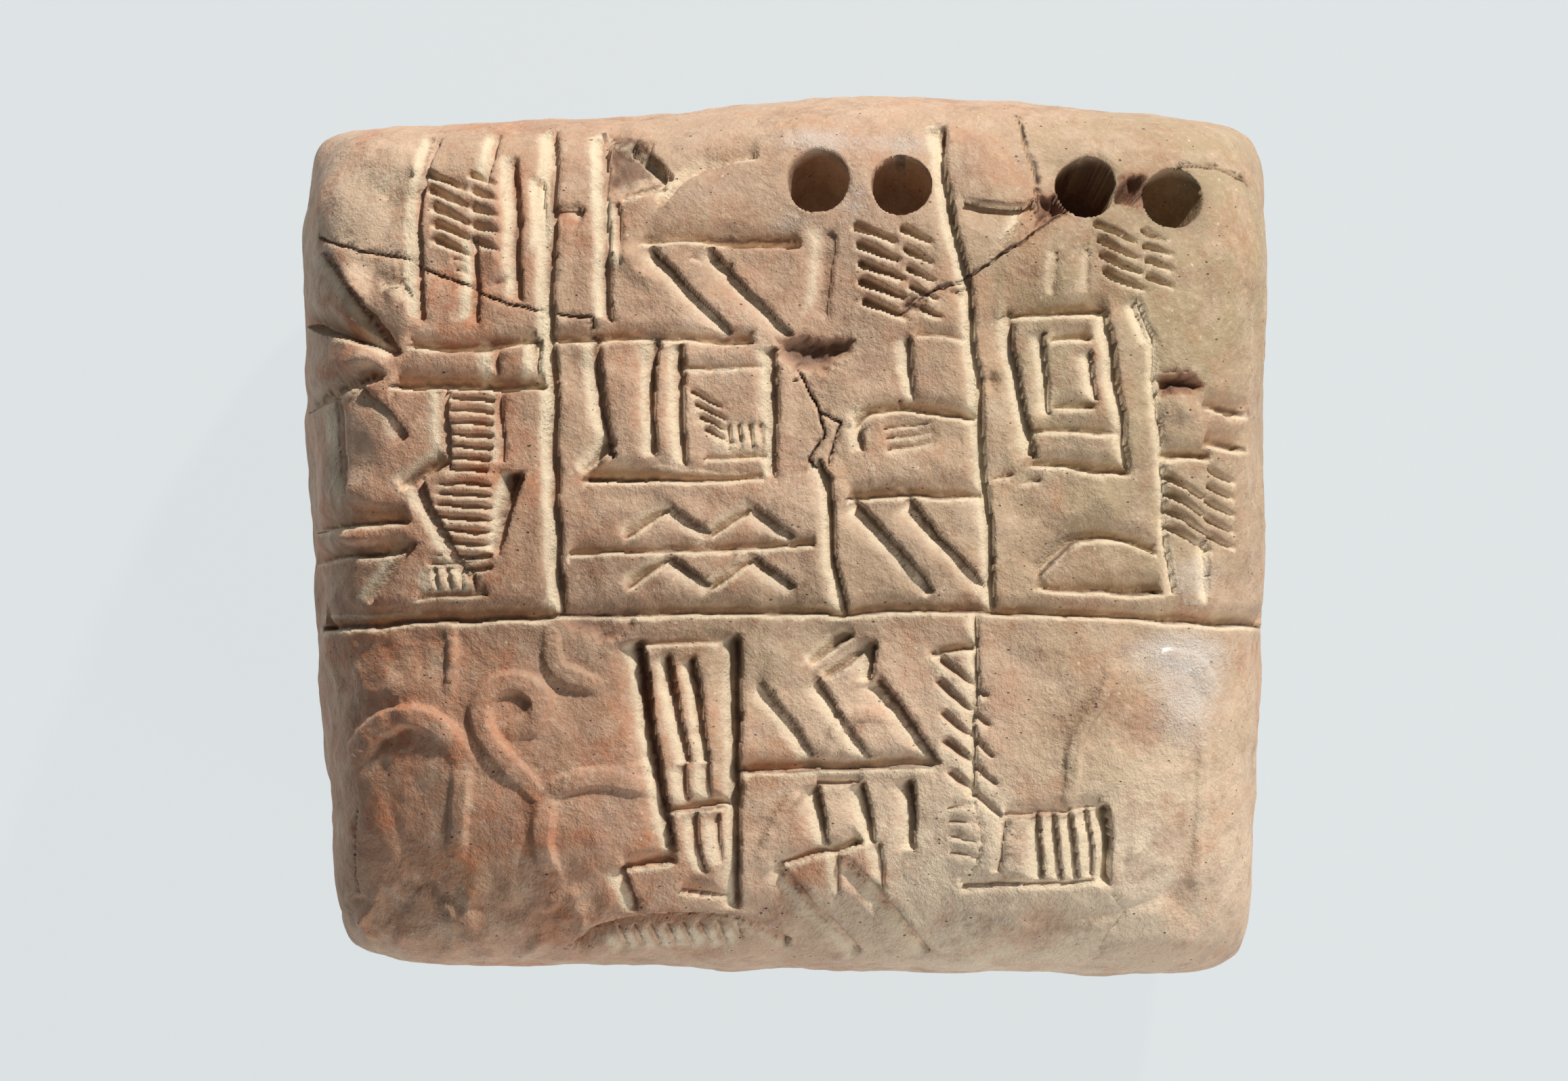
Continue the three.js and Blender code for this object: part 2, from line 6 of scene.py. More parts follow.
import bpy
import numpy as np
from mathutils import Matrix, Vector


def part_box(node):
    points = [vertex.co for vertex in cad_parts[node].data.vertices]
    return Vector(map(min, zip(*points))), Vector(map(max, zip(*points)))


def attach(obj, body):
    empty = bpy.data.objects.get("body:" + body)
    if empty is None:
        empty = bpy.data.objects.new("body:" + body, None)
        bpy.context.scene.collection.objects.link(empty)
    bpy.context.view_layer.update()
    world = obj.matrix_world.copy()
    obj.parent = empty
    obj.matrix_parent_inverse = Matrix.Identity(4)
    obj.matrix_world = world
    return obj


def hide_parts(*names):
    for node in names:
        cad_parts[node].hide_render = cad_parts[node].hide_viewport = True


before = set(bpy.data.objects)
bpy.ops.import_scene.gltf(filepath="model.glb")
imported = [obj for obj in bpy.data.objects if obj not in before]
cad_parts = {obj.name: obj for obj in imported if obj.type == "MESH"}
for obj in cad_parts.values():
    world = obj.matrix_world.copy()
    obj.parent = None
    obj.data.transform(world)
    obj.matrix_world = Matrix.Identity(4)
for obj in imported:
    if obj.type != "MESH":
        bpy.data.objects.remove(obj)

LOG = logging.getLogger("tablet")
MM = 0.001
FACE_LEVELS = (28.0, 33.5)  # heights between which marks fade in from the sides
BAND_RELIEF = 1.4  # how much prouder the seal's bands stand than their listed heights
Point = tuple[float, float]
Colour = tuple[float, float, float]

# A thick clay account tablet that lies on its back, dressed and lit.
# All shapes are worked out in millimetres in the part's own frame: +Z up out of the written face,
# +Y towards its top edge, origin in the middle of the underside.


# ---------------------------------------------------------------- small numeric helpers


def smoothstep(low: float, high: float, value: np.ndarray) -> np.ndarray:
    """0 below low, 1 above high, and the cubic 3t^2 - 2t^3 between."""
    t = np.clip((value - low) / (high - low), 0.0, 1.0)
    return t * t * (3.0 - 2.0 * t)


def value_noise(points: np.ndarray, size: float, seed: int) -> np.ndarray:
    """Smooth noise in space: random numbers on a cubic lattice, blended by smoothstep weights.

    Args:
        points: Places, one row each, in millimetres.
        size: The lattice's pitch in millimetres.
        seed: Chooses the random numbers.

    Returns:
        One number from -1 to 1 for each place.
    """
    table = np.random.default_rng(seed).uniform(-1.0, 1.0, 4096)
    scaled = points / size + 100.0
    cell = np.floor(scaled).astype(np.int64)
    t = scaled - cell
    t = t * t * (3.0 - 2.0 * t)
    total = np.zeros(len(points))
    for corner in np.ndindex(2, 2, 2):
        at = cell + corner
        key = (at[:, 0] * 73856093) ^ (at[:, 1] * 19349663) ^ (at[:, 2] * 83492791)
        weight = np.prod(np.where(corner, t, 1.0 - t), axis=1)
        total += weight * table[key & 4095]
    return total


def fractal_noise(points: np.ndarray, size: float, seed: int, octaves: int = 3) -> np.ndarray:
    """Octaves of value noise, each at half the size and half the strength of the one before."""
    parts = [value_noise(points, size / 2**k, seed + k) / 2**k for k in range(octaves)]
    return np.sum(parts, axis=0)


def smooth_path(route: Sequence[Point], per_span: int = 6) -> np.ndarray:
    """A Catmull-Rom curve through the route's points, as a chain of short straight lengths."""
    p = np.asarray(route, float)
    p = np.vstack([2 * p[0] - p[1], p, 2 * p[-1] - p[-2]])
    t = np.linspace(0.0, 1.0, per_span, endpoint=False)[:, None]
    spans = [
        0.5
        * (
            2 * b
            + (c - a) * t
            + (2 * a - 5 * b + 4 * c - d) * t**2
            + (3 * b - a - 3 * c + d) * t**3
        )
        for a, b, c, d in zip(p, p[1:], p[2:], p[3:])
    ]
    return np.vstack([*spans, p[-2:-1]])


# ---------------------------------------------------------------- the cushion of clay


@dataclass
class Cushion:
    """The plain body: a superquadric cushion with leaning edges and a flat spot underneath."""

    width: float = 60.0
    height: float = 54.9
    waist_z: float = 20.0
    crown_z: float = 41.15
    back_drop: float = 20.3
    edge_power: float = 5.0
    corner_power_waist: float = 24.0
    corner_power_face: float = 4.5

    def right_edge(self, y: np.ndarray) -> np.ndarray:
        """The right side, a slow curve along y."""
        return self.width / 2 - 0.13 + 0.02 * y - 0.0003 * y * y

    def left_edge(self, y: np.ndarray) -> np.ndarray:
        """The left side, which leans in towards the foot."""
        return -self.width / 2 + 0.71 - 0.046 * y + 0.0008 * y * y

    def top_edge(self, x: np.ndarray) -> np.ndarray:
        """The top, with a low hump right of the middle."""
        return self.height / 2 - 2 + 1.8 * np.exp(-(((x - 6) / 17) ** 2))

    def bottom_edge(self, x: np.ndarray) -> np.ndarray:
        """The foot, a little lower to the right."""
        return -self.height / 2 + 0.4 - 0.012 * x

    def reach(self, unit: np.ndarray) -> np.ndarray:
        """How far out unit vectors lie, 1 on the surface.

        The outline is |u|^m + |v|^m to the power 1/m, with m falling from the waist to the
        crowns, and the profile joins it to |w| with the edge power.
        """
        u, v, w = np.abs(unit).T
        lean = np.minimum(1.0, w / np.maximum(np.maximum(u, v), 1e-6))
        m = self.corner_power_waist + (self.corner_power_face - self.corner_power_waist) * lean**0.7
        top = np.maximum(np.maximum(u, v), 1e-9)
        outline = top * ((u / top) ** m + (v / top) ** m) ** (1 / m)
        n = self.edge_power
        return (outline**n + w**n) ** (1 / n)

    def surface(self, direction: np.ndarray) -> np.ndarray:
        """The points of the surface in those directions from the middle of the body."""
        unit = direction / self.reach(direction)[:, None]
        u, v, w = unit.T
        x, y = u * self.width / 2, v * self.height / 2
        for _ in range(6):
            right, left = self.right_edge(y), self.left_edge(y)
            x = (right + left) / 2 + u * (right - left) / 2
            top, bottom = self.top_edge(x), self.bottom_edge(x)
            y = (top + bottom) / 2 + v * (top - bottom) / 2
        rise = np.where(w > 0, self.crown_z - self.waist_z, self.back_drop)
        return np.column_stack([x, y, np.maximum(self.waist_z + w * rise, 0.0)])

    def half_shell(self, lines: int, side: int) -> np.ndarray:
        """Half of the surface as a square grid, from its crown in the middle to the waist.

        The grid's concentric squares are the surface's level lines, spaced evenly along the
        profile from the crown (r = 0) to the waist (r = 1).

        Args:
            lines: Grid lines each way.
            side: 1 for the written face, -1 for the back.

        Returns:
            The points, row by row.
        """
        angle = np.linspace(math.pi / 2, 0.0, 4000)
        n = self.edge_power
        rho, w = np.cos(angle) ** (2 / n), np.sin(angle) ** (2 / n)
        run = np.hypot(np.diff(rho * self.width / 2), np.diff(w * self.waist_z))
        run = np.concatenate([[0.0], np.cumsum(run)])
        s, t = np.meshgrid(np.linspace(-1, 1, lines), np.linspace(-1, 1, lines))
        r = np.maximum(np.maximum(np.abs(s), np.abs(t)), 1e-9)
        at = r * run[-1]
        level = np.interp(at, run, w)
        level[r > 1 - 1e-9] = 0.0
        out = np.interp(at, run, rho)
        direction = np.column_stack(
            [(s / r * out).ravel(), (t / r * out).ravel(), (side * level).ravel()]
        )
        return self.surface(direction)


def grid_faces(lines: int, flip: bool) -> np.ndarray:
    """Two triangles for each square of a square grid, turned to face outwards."""
    a = (np.arange(lines - 1)[:, None] * lines + np.arange(lines - 1)[None, :]).ravel()
    quads = np.column_stack([a, a + 1, a + lines + 1, a + lines])
    if flip:
        quads = quads[:, ::-1]
    return np.vstack([quads[:, [0, 1, 2]], quads[:, [0, 2, 3]]])


def rim_of(lines: int) -> np.ndarray:
    """The border of a square grid as one loop of indices, counter-clockwise from a corner."""
    n = lines - 1
    k = np.arange(n)
    return np.concatenate([k, n + k * lines, n * lines + n - k, (n - k) * lines])


def stitch(fine: np.ndarray, coarse: np.ndarray) -> np.ndarray:
    """Triangles that join a fine loop to a coarse one with a whole number of steps to each of its.

    Each coarse step is a fan: its first end takes the first half of the fine steps, its second
    end the rest, and one triangle lies between.
    """
    step = len(fine) // len(coarse)
    k = np.arange(len(coarse))
    near, far = coarse[k], coarse[(k + 1) % len(coarse)]
    fans = []
    for j in range(step):
        a, b = fine[k * step + j], fine[(k * step + j + 1) % len(fine)]
        fans.append(np.column_stack([a, np.where(j < step // 2, near, far), b]))
    middle = fine[k * step + step // 2]
    fans.append(np.column_stack([near, far, middle]))
    return np.vstack(fans)


# ---------------------------------------------------------------- marks in the clay


@dataclass(frozen=True)
class Stroke:
    """One groove, from its deep head to its tail, in millimetres on the face.

    reach is how far its bank spreads, worked out from the depth if None. flip puts the bank on
    the other side. slot is the share of the width that the narrow slot takes.
    """

    head: Point
    end: Point
    width: float
    depth: float
    tail: float = 0.45
    crust: float = 0.0
    blunt: bool = True
    reach: float | None = None
    flip: bool = False
    slot: float = 0.44


@dataclass
class Marks:
    """What the marks do at a set of places: depths and heights in millimetres, shares 0 to 1."""

    cut: np.ndarray
    bank: np.ndarray
    lip: np.ndarray
    # edge: painted highlights along the stroke rims that face the light.
    edge: np.ndarray
    crust: np.ndarray
    chip: np.ndarray
    crack: np.ndarray
    raised: np.ndarray

    @classmethod
    def none(cls, size: int) -> "Marks":
        """No mark at any of size places."""
        return cls(*(np.zeros(size) for _ in range(8)))


@dataclass
class Scribe:
    """Collects the strokes of the reed and presses them into a set of places."""

    strokes: list[Stroke] = field(default_factory=list)
    steep_side: Point = (0.83, -0.55)
    slot: float = 1.0
    shift: float = 0.22
    steep: float = 0.35
    lean: float = 0.9
    soften: float = 0.04
    shelf: float = 0.9
    reach: float = 1.25

    def wedge(
        self, head: Point, end: Point, width: float, depth: float, tail: float = 0.4,
        crust: float = 0.0,
    ) -> None:
        """One stroke with a blunt head."""
        self.strokes.append(Stroke(head, end, width, depth, tail, crust))

    def line(
        self, route: Sequence[Point], width: float, depth: float, crust: float = 0.0,
        bend: bool = False,
    ) -> None:
        """A groove of one size along a route of straight or, if bend, smooth lengths."""
        path = smooth_path(route) if bend else np.asarray(route, float)
        for a, b in zip(path, path[1:]):
            self.strokes.append(Stroke(tuple(a), tuple(b), width, depth, 1.0, crust, False))

    def fold(self, route: Sequence[Point], drop: float, reach: float, flip: bool = False) -> None:
        """A crease along a smooth route: the clay on one side sinks to it by drop over reach."""
        path = smooth_path(route, 4)
        for a, b in zip(path, path[1:]):
            self.strokes.append(Stroke(tuple(a), tuple(b), 0.3, drop, 1.0, 0.0, False, reach, flip))

    def row(
        self, first: Point, step: Point, run: Point, count: int, width: float, depth: float,
        tail: float = 0.4, crust: float = 0.0,
    ) -> None:
        """count like wedges, their heads step apart and each running by run."""
        for i in range(count):
            head = (first[0] + i * step[0], first[1] + i * step[1])
            self.wedge(head, (head[0] + run[0], head[1] + run[1]), width, depth, tail, crust)

    def slants(
        self, first: Point, step: Point, run: Point, count: int, width: float, depth: float,
    ) -> None:
        """count short open slots, their heads step apart, with a ridge left between neighbours."""
        for i in range(count):
            head = (first[0] + i * step[0], first[1] + i * step[1])
            end = (head[0] + run[0], head[1] + run[1])
            self.strokes.append(Stroke(head, end, width, depth, 0.5, 0.0, True, 0.3, False, 0.85))

    def zigzag(
        self, start: Point, stride: float, rise: float, count: int, width: float, depth: float,
    ) -> None:
        """Strokes that climb and fall by turns."""
        for i in range(count):
            head = (start[0] + i * stride, start[1] + (i % 2) * rise)
            end = (head[0] + stride, start[1] + ((i + 1) % 2) * rise)
            self.wedge(head, end, width, depth, 0.7)

    def press(self, x: np.ndarray, y: np.ndarray, marks: Marks) -> None:
        """Adds every stroke to marks, the deepest winning.

        The reed is held slanting, so a stroke is a narrow slot whose one wall stands straight up
        to a crisp rim, while on its other side the clay is dragged down in a broad bank, which
        flattens out as (1 - g)^1.5 over the gap g. The head falls steeply, with round corners;
        the tail runs out.
        The pale rims in marks.edge are painted highlights, set by a stroke's direction on the sides
        that face light from the top edge.

        Args:
            x: Places across the face.
            y: Places up the face.
            marks: Changed in place.
        """
        order = np.argsort(y)
        ys = y[order]
        for s in self.strokes:
            reach = s.reach or self.reach * (0.35 + 0.8 * s.depth)
            margin = s.width / 2 + 0.6 + reach
            low = np.searchsorted(ys, min(s.head[1], s.end[1]) - margin)
            high = np.searchsorted(ys, max(s.head[1], s.end[1]) + margin)
            near = order[low:high]
            xs = x[near]
            near = near[
                (xs > min(s.head[0], s.end[0]) - margin) & (xs < max(s.head[0], s.end[0]) + margin)
            ]
            if not len(near):
                continue
            run = np.array([s.end[0] - s.head[0], s.end[1] - s.head[1]])
            length = max(float(np.hypot(*run)), 1e-6)
            along = run / length
            side = np.array([-along[1], along[0]])
            if (side @ np.asarray(self.steep_side) < 0) != s.flip:
                side = -side
            dx, dy = x[near] - s.head[0], y[near] - s.head[1]
            a = dx * along[0] + dy * along[1]
            size = 1.0 + (s.tail - 1.0) * np.clip(a / length, 0.0, 1.0)
            depth = s.depth * size
            half = self.slot * s.slot * s.width / 2 * size
            across = dx * side[0] + dy * side[1] - self.shift * s.width * size
            past = np.maximum(np.maximum(-a, a - length), 0.0)
            if s.blunt:
                corner = np.clip(1.0 - a / (0.7 * half), 0.0, 1.0)
                half = half * np.sqrt(1.0 - 0.8 * corner**2)
                ends = np.minimum((a + 0.05) * 4.0, (length + 0.1 - a) * 1.3)
                keep = np.clip(1.0 - past / 0.35, 0.0, 1.0) * smoothstep(-0.3, 0.5, a)
            else:
                half = np.sqrt(np.maximum(half**2 - past**2, 1e-9))
                ends = 9.0
                keep = (past < 0.05).astype(float)
            steep_wall = (half - across) / (self.steep * half) * depth
            leaning_wall = (half + across) / (self.lean * half) * depth
            d = np.minimum(np.minimum(steep_wall, leaning_wall), ends)
            d = np.clip(np.minimum(d, depth), 0.0, None)
            d = np.sqrt(d * d + self.soften**2) - self.soften
            marks.cut[near] = np.maximum(marks.cut[near], d)
            gap = np.clip(1.0 + (across + 0.3 * half) / (reach * (0.4 + 0.6 * size)), 0.0, 1.0)
            bank = self.shelf * depth * gap**1.5 * (across < half) * keep
            marks.bank[near] = np.maximum(marks.bank[near], bank)
            rise = 0.1 * depth * np.exp(
                -(((across - half - 0.3) / 0.5) ** 2)
            ) * (across > half - 0.05) * keep
            marks.lip[near] = np.maximum(marks.lip[near], rise)
            # Painted highlights: a pale band on the bank of strokes whose steep wall is on the right,
            # and a thin pale line past the steep rim of strokes whose steep wall faces the foot.
            rim = 1.2 * np.exp(-(((across + half + 0.25) / 0.35) ** 2)) * keep * max(side[0], 0.0)
            rim += np.exp(-(((across - half - 0.06) / 0.12) ** 2)) * keep * max(-side[1], 0.0)
            marks.edge[near] = np.maximum(marks.edge[near], rim * min(1.0, s.depth / 0.6))
            if s.crust:
                out = np.maximum(-across - half, 0.0) + 2.0 * np.maximum(across, 0.0) + 2.0 * past
                marks.crust[near] = np.maximum(
                    marks.crust[near], s.crust * np.clip(1.3 - out / 0.45, 0.0, 1.0),
                )


def polygon_inset(x: np.ndarray, y: np.ndarray, rim: Sequence[Point]) -> np.ndarray:
    """How far inside a convex, clockwise rim each place lies, negative outside."""
    inset = np.full(len(x), 1e9)
    for (ax, ay), (bx, by) in zip(rim, [*rim[1:], rim[0]]):
        length = math.hypot(bx - ax, by - ay)
        inset = np.minimum(inset, ((x - ax) * (by - ay) - (y - ay) * (bx - ax)) / length)
    return inset


@dataclass(frozen=True)
class Chip:
    """A pocket where clay is gone, given by its clockwise rim and its depth."""

    rim: tuple[Point, ...]
    depth: float
    slope: float = 1.6
    raw: float = 1.0


@dataclass(frozen=True)
class Band:
    """A raised band of a seal figure along a smooth route."""

    route: tuple[Point, ...]
    width: float
    height: float


@dataclass(frozen=True)
class Mound:
    """A low rounded swelling, or a hollow if its height is negative."""

    at: Point
    length: float
    width: float
    height: float
    turn: float = 0.0


@dataclass(frozen=True)
class Pit:
    """A round number pressed square to the face with the butt of the reed."""

    at: Point
    radius: float = 1.87
    depth: float = 5.2
    # dark: how strongly painted shade darkens the pit's inside.
    dark: float = 0.2


@dataclass(frozen=True)
class Stain:
    """A soft patch of a tint."""

    at: Point
    size: Point
    strength: float


def stains_at(x: np.ndarray, y: np.ndarray, stains: Iterable[Stain]) -> np.ndarray:
    """The sum of the patches' Gaussian bells, clipped to 0 and 1."""
    total = np.zeros(len(x))
    for s in stains:
        total += s.strength * np.exp(
            -(((x - s.at[0]) / s.size[0]) ** 2) - ((y - s.at[1]) / s.size[1]) ** 2
        )
    return np.clip(total, 0.0, 1.0)


# ---------------------------------------------------------------- the written face


class WrittenFace:
    """Everything that is on the face: the ruled cases, the strokes, the seal and the damage."""

    # The third pit is painted darkest inside: painted shade.
    pits: tuple[Pit, ...] = (
        Pit((2.0, 21.6)), Pit((7.1, 21.4)), Pit((18.4, 21.3), dark=1.0), Pit((23.8, 20.7)),
    )

    worn_zones: tuple[Stain, ...] = (
        Stain((-25.0, -10.5), (3.6, 7.0), 1.0),
        Stain((-19.0, -23.5), (8.0, 3.0), 0.8),
        Stain((-9.5, 21.5), (2.2, 3.0), 0.8),
        Stain((-12.8, 19.0), (1.4, 4.5), 0.5),
        Stain((24.0, 8.0), (2.5, 2.0), 0.9),
        Stain((1.5, 6.5), (1.5, 3.0), 0.5),
    )

    def __init__(self) -> None:
        """Writes every case."""
        self.scribe = Scribe()
        self.cracks: list[Stroke] = []
        self.bands = self._seal_bands()
        self.mounds = self._mounds()
        self.chips = self._chips()
        for write in (
            self._rules,
            self._upper_left,
            self._left_margin,
            self._top_middle,
            self._middle,
            self._inner_right,
            self._top_right,
            self._middle_right,
            self._lower_register,
            self._cracks,
        ):
            write()

    def _rules(self) -> None:
        """The lines between the cases, full of pale crust."""
        s = self.scribe
        s.line([(-28.4, -5.4), (-25.6, -5.2), (-20.9, -4.9), (-14.2, -4.7)], 1.1, 0.9)
        s.line([(-28.2, -4.7), (-22, -4.5)], 0.5, 0.4)
        s.line([(-14.2, -4.7), (-4.7, -4.5), (3.6, -4.6)], 0.75, 0.7)
        s.line([(3.6, -4.6), (8.5, -4.4), (12.4, -4.5), (19, -4.8), (23, -5.0)], 0.6, 0.75)
        s.line([(23, -5.0), (26, -5.2), (29.4, -5.5)], 0.7, 1.0)
        s.line([(-14.2, 24.6), (-14.3, 20), (-14.3, 13.4)], 0.8, 0.7, crust=0.8)
        s.line([(-14.3, 13.4), (-14.1, 3.9), (-13.7, -4.6)], 0.8, 0.75, crust=1.0)
        s.line([(9.2, 24.9), (9.5, 22.4), (10.2, 18.6)], 0.9, 0.9, crust=0.6)
        s.wedge((9.4, 25.0), (9.6, 22.6), 1.2, 1.3)
        s.line([(10.2, 18.6), (11, 15.3), (11.6, 9.6), (12.2, 3), (12.6, -4.5)], 0.75, 0.75, crust=1.0)
        s.line([(21.3, 14.4), (22.3, 12), (23, 3.9), (23.7, -3.6)], 0.5, 0.5, crust=0.8)
        s.line([(-14, 12), (-10, 12.1), (-2, 11.9)], 0.7, 0.7)
        s.line([(8.1, 12.2), (11.4, 12)], 0.5, 0.4)
        s.line([(2.1, 4.4), (2.6, 3.4), (2.8, -0.8), (3.6, -4.6)], 0.7, 0.8)
        s.wedge((-3.1, -6.2), (-3.05, -22.4), 1.15, 1.5, 0.55, crust=0.35)
        s.line([(-3.0, -15.5), (-3.1, -22)], 0.8, 0.7, crust=0.7)
        s.line([(11.5, -4.8), (11.6, -10), (11.5, -16)], 0.35, 0.5)
        s.line([(-2.6, -14.1), (2.5, -14), (9, -13.8)], 0.75, 0.8)

    def _upper_left(self) -> None:
        """Case one: slanting strokes between uprights; case two below: barred and combed rows."""
        s = self.scribe
        s.slants((-21.8, 22.3), (0.08, -1.0), (2.2, -1.05), 5, 0.72, 0.75)
        s.slants((-19.2, 22.2), (0.04, -1.0), (1.5, -0.75), 5, 0.6, 0.6)
        s.fold([(-13.9, 19.9), (-13.0, 20.0), (-12.2, 19.6)], 0.6, 1.8, flip=True)
        s.fold([(-24.6, 20.6), (-24.0, 21.5), (-22.9, 22.0)], 0.4, 1.0)
        s.row((-20.4, 17.0), (0.2, -0.7), (1.0, -0.4), 2, 0.4, 0.35)
        s.wedge((-21.6, 24.4), (-22.4, 20.8), 0.9, 0.8, 0.8)
        s.line([(-22.4, 21), (-22.5, 17), (-22.2, 13.3)], 0.6, 0.6, crust=0.7)
        s.wedge((-19, 18.2), (-19, 13.4), 0.7, 0.6, 0.7)
        s.wedge((-16.7, 23.2), (-16.3, 14.6), 1.0, 0.8, 0.8, crust=0.6)
        s.wedge((-17.6, 24.4), (-18.2, 21.5), 0.7, 0.6, crust=0.7)
        s.wedge((-14.9, 21.8), (-14.7, 17.5), 0.6, 0.8)
        s.line([(-22.9, 11.7), (-19, 11.6), (-15.1, 12)], 0.7, 0.7)
        s.line([(-23.8, 9.4), (-19, 9.2), (-14.8, 9.4)], 0.9, 1.0)
        s.wedge((-17.9, 11.8), (-17.7, 9.6), 0.6, 0.6)
        s.wedge((-15.1, 12), (-15.2, 9.6), 0.8, 0.8)
        s.slants((-17.9, 8.4), (-0.02, -0.72), (-2.5, 0.1), 7, 0.5, 0.5)
        s.line([(-20.9, 8.8), (-20.7, 4.4)], 0.5, 0.55, crust=0.5)
        s.line([(-17.5, 8.8), (-17.3, 4.6)], 0.35, 0.35)
        s.slants((-17.7, 3.2), (-0.02, -0.72), (-3.3, 0.1), 8, 0.5, 0.5)
        s.wedge((-22.8, 3.4), (-19.4, -2.4), 0.9, 0.9, 0.5)
        s.wedge((-16.4, 3.9), (-17.6, -0.9), 1.3, 1.5, 0.5)
        s.slants((-21.5, -1.9), (0.75, 0.02), (0.2, -1.4), 4, 0.5, 0.5)
        s.wedge((-21.9, -1.6), (-18.6, -1.4), 0.4, 0.4, 0.8)
        s.line([(-22.4, -3.8), (-18.2, -3.5)], 0.4, 0.4)

    def _left_margin(self) -> None:
        """Bold strokes that run over the left edge."""
        s = self.scribe
        s.wedge((-28.4, 17.4), (-24.0, 11.2), 0.9, 1.2, 0.9)
        s.wedge((-23.9, 11.4), (-29.8, 13.4), 0.9, 1.1, 0.9)
        s.wedge((-24.6, 10.0), (-29.8, 8.0), 1.0, 1.1, 0.9)
        s.wedge((-27.5, 8.4), (-26.9, 2.6), 0.8, 0.9, 0.8)
        s.wedge((-20.8, 4.9), (-23.5, 3.0), 0.9, 0.9, 0.8)
        s.fold([(-25.9, 9.0), (-24.3, 7.6), (-23.2, 6.0)], 0.45, 1.6)
        s.fold([(-24.4, 15.0), (-23.4, 15.4), (-22.8, 14.6)], 0.4, 1.2)
        s.wedge((-23.0, 1.0), (-29.8, 0.5), 0.8, 0.9, 0.9)
        s.wedge((-23.2, -0.7), (-29.8, -1.5), 0.9, 0.9, 0.9)
        s.wedge((-22.8, -0.4), (-25.4, -4.0), 0.8, 0.6, 0.6)

    def _top_middle(self) -> None:
        """Case three: slanting strokes under a level one, and a column of short slants."""
        s = self.scribe
        s.line([(-11.2, 24.4), (-11.0, 19), (-10.9, 13.2)], 1.0, 0.6, crust=0.5)
        s.line([(-10.9, 24.8), (-9.4, 23.9), (-7.2, 21.9)], 0.9, 1.1)
        s.wedge((-7.2, 21.6), (-9.7, 20.7), 0.8, 0.8, 0.9)
        s.wedge((-10.3, 20.2), (-10.0, 16.6), 0.8, 0.5)
        s.wedge((0.9, 18.1), (-8.5, 17.9), 1.15, 1.2, 0.5)
        s.row((-8.3, 17.3), (3.6, 0.0), (4.9, -4.9), 2, 0.9, 1.0, 0.6)
        s.slants((4.2, 19.3), (0.17, -1.19), (2.5, -1.3), 5, 0.85, 0.85)
        s.slants((7.2, 18.9), (0.12, -1.19), (1.6, -0.9), 5, 0.75, 0.75)
        s.wedge((2.2, 18.8), (1.8, 13.7), 2.2, 0.35, 0.9)
        s.fold([(-7.4, 20.2), (-6.2, 21.6), (-4.8, 22.5), (-3.4, 22.9), (-1.8, 22.9)], 0.75, 1.5)
        s.fold([(-5.6, 16.8), (-4.4, 16.5), (-3.2, 16.6)], 0.3, 0.9)

    def _middle(self) -> None:
        """Case four: open brackets and combs, a deep level stroke, and zigzags about a line."""
        s = self.scribe
        s.line([(-11.7, 11.9), (-11.2, 8), (-10.6, 4.9)], 0.8, 0.8)
        s.wedge((-8.1, 12.0), (-8.0, 5.0), 1.0, 1.1, 0.6)
        s.wedge((-6.5, 11.6), (-6.2, 4.5), 0.9, 0.9, 0.7, crust=0.4)
        s.line([(-6.1, 10.2), (-1.3, 10.3)], 0.5, 0.45)
        s.wedge((-0.9, 11.4), (-0.7, 3.8), 0.8, 0.9, 0.7, crust=0.6)
        s.slants((-5.6, 8.9), (0.28, -0.75), (1.5, -0.9), 4, 0.55, 0.55)
        s.slants((-3.6, 6.9), (0.66, 0.0), (0.1, -1.9), 4, 0.42, 0.45)
        s.line([(-4.8, 4.8), (-1.2, 4.9)], 0.5, 0.5)
        s.wedge((-12.3, 3.6), (-1.4, 3.5), 1.05, 1.3, 0.4)
        s.wedge((-10.5, 5.9), (-12.2, 3.9), 1.0, 1.2, 0.5)
        s.line([(-8, 4.4), (-2, 3.9)], 0.4, 0.35)
        s.zigzag((-9.6, 0.0), 2.5, 1.7, 4, 0.75, 0.8)
        s.zigzag((-9.6, -3.1), 2.5, 1.7, 4, 0.75, 0.8)
        s.line([(-13, -1), (-5, -0.8), (1.7, -0.4)], 0.5, 0.6)

    def _inner_right(self) -> None:
        """Case five: hooked and curved strokes above a level one with slants below it."""
        s = self.scribe
        s.wedge((7.3, 12), (7.8, 8.1), 0.8, 0.6, 0.6)
        s.line([(4.3, 6.7), (5.2, 7.6), (7.6, 7.8), (11.6, 7.2)], 0.75, 0.8, bend=True)
        s.line([(4.3, 6.7), (4.7, 5.2)], 0.6, 0.5)
        s.row((6.0, 6.6), (0.1, -0.62), (2.6, 0.25), 3, 0.45, 0.45)
        s.line([(3.9, 2.5), (8, 2.6), (12, 2.5)], 0.75, 0.8)
        s.row((4.0, 2.1), (3.3, 0.0), (4.8, -5.4), 2, 1.0, 1.0, 0.6)

    def _top_right(self) -> None:
        """Case six: two columns of slants and their short stem."""
        s = self.scribe
        s.slants((19.1, 19.3), (0.1, -0.98), (2.4, -1.2), 4, 0.72, 0.75)
        s.slants((21.9, 19.0), (0.1, -0.98), (1.5, -0.8), 4, 0.62, 0.65)
        s.wedge((20.9, 14.3), (21.9, 11.8), 0.8, 0.8)
        s.fold([(11.0, 20.4), (12.6, 20.1), (14.2, 20.0), (15.2, 20.3)], 0.9, 2.2, flip=True)
        s.fold([(13.2, 17.6), (13.9, 18.6), (14.2, 19.6)], 0.5, 0.9)
        s.fold([(16.2, 14.6), (16.4, 17.2)], 0.25, 0.8)
        s.fold([(18.3, 15.0), (18.4, 17.4)], 0.25, 0.9)

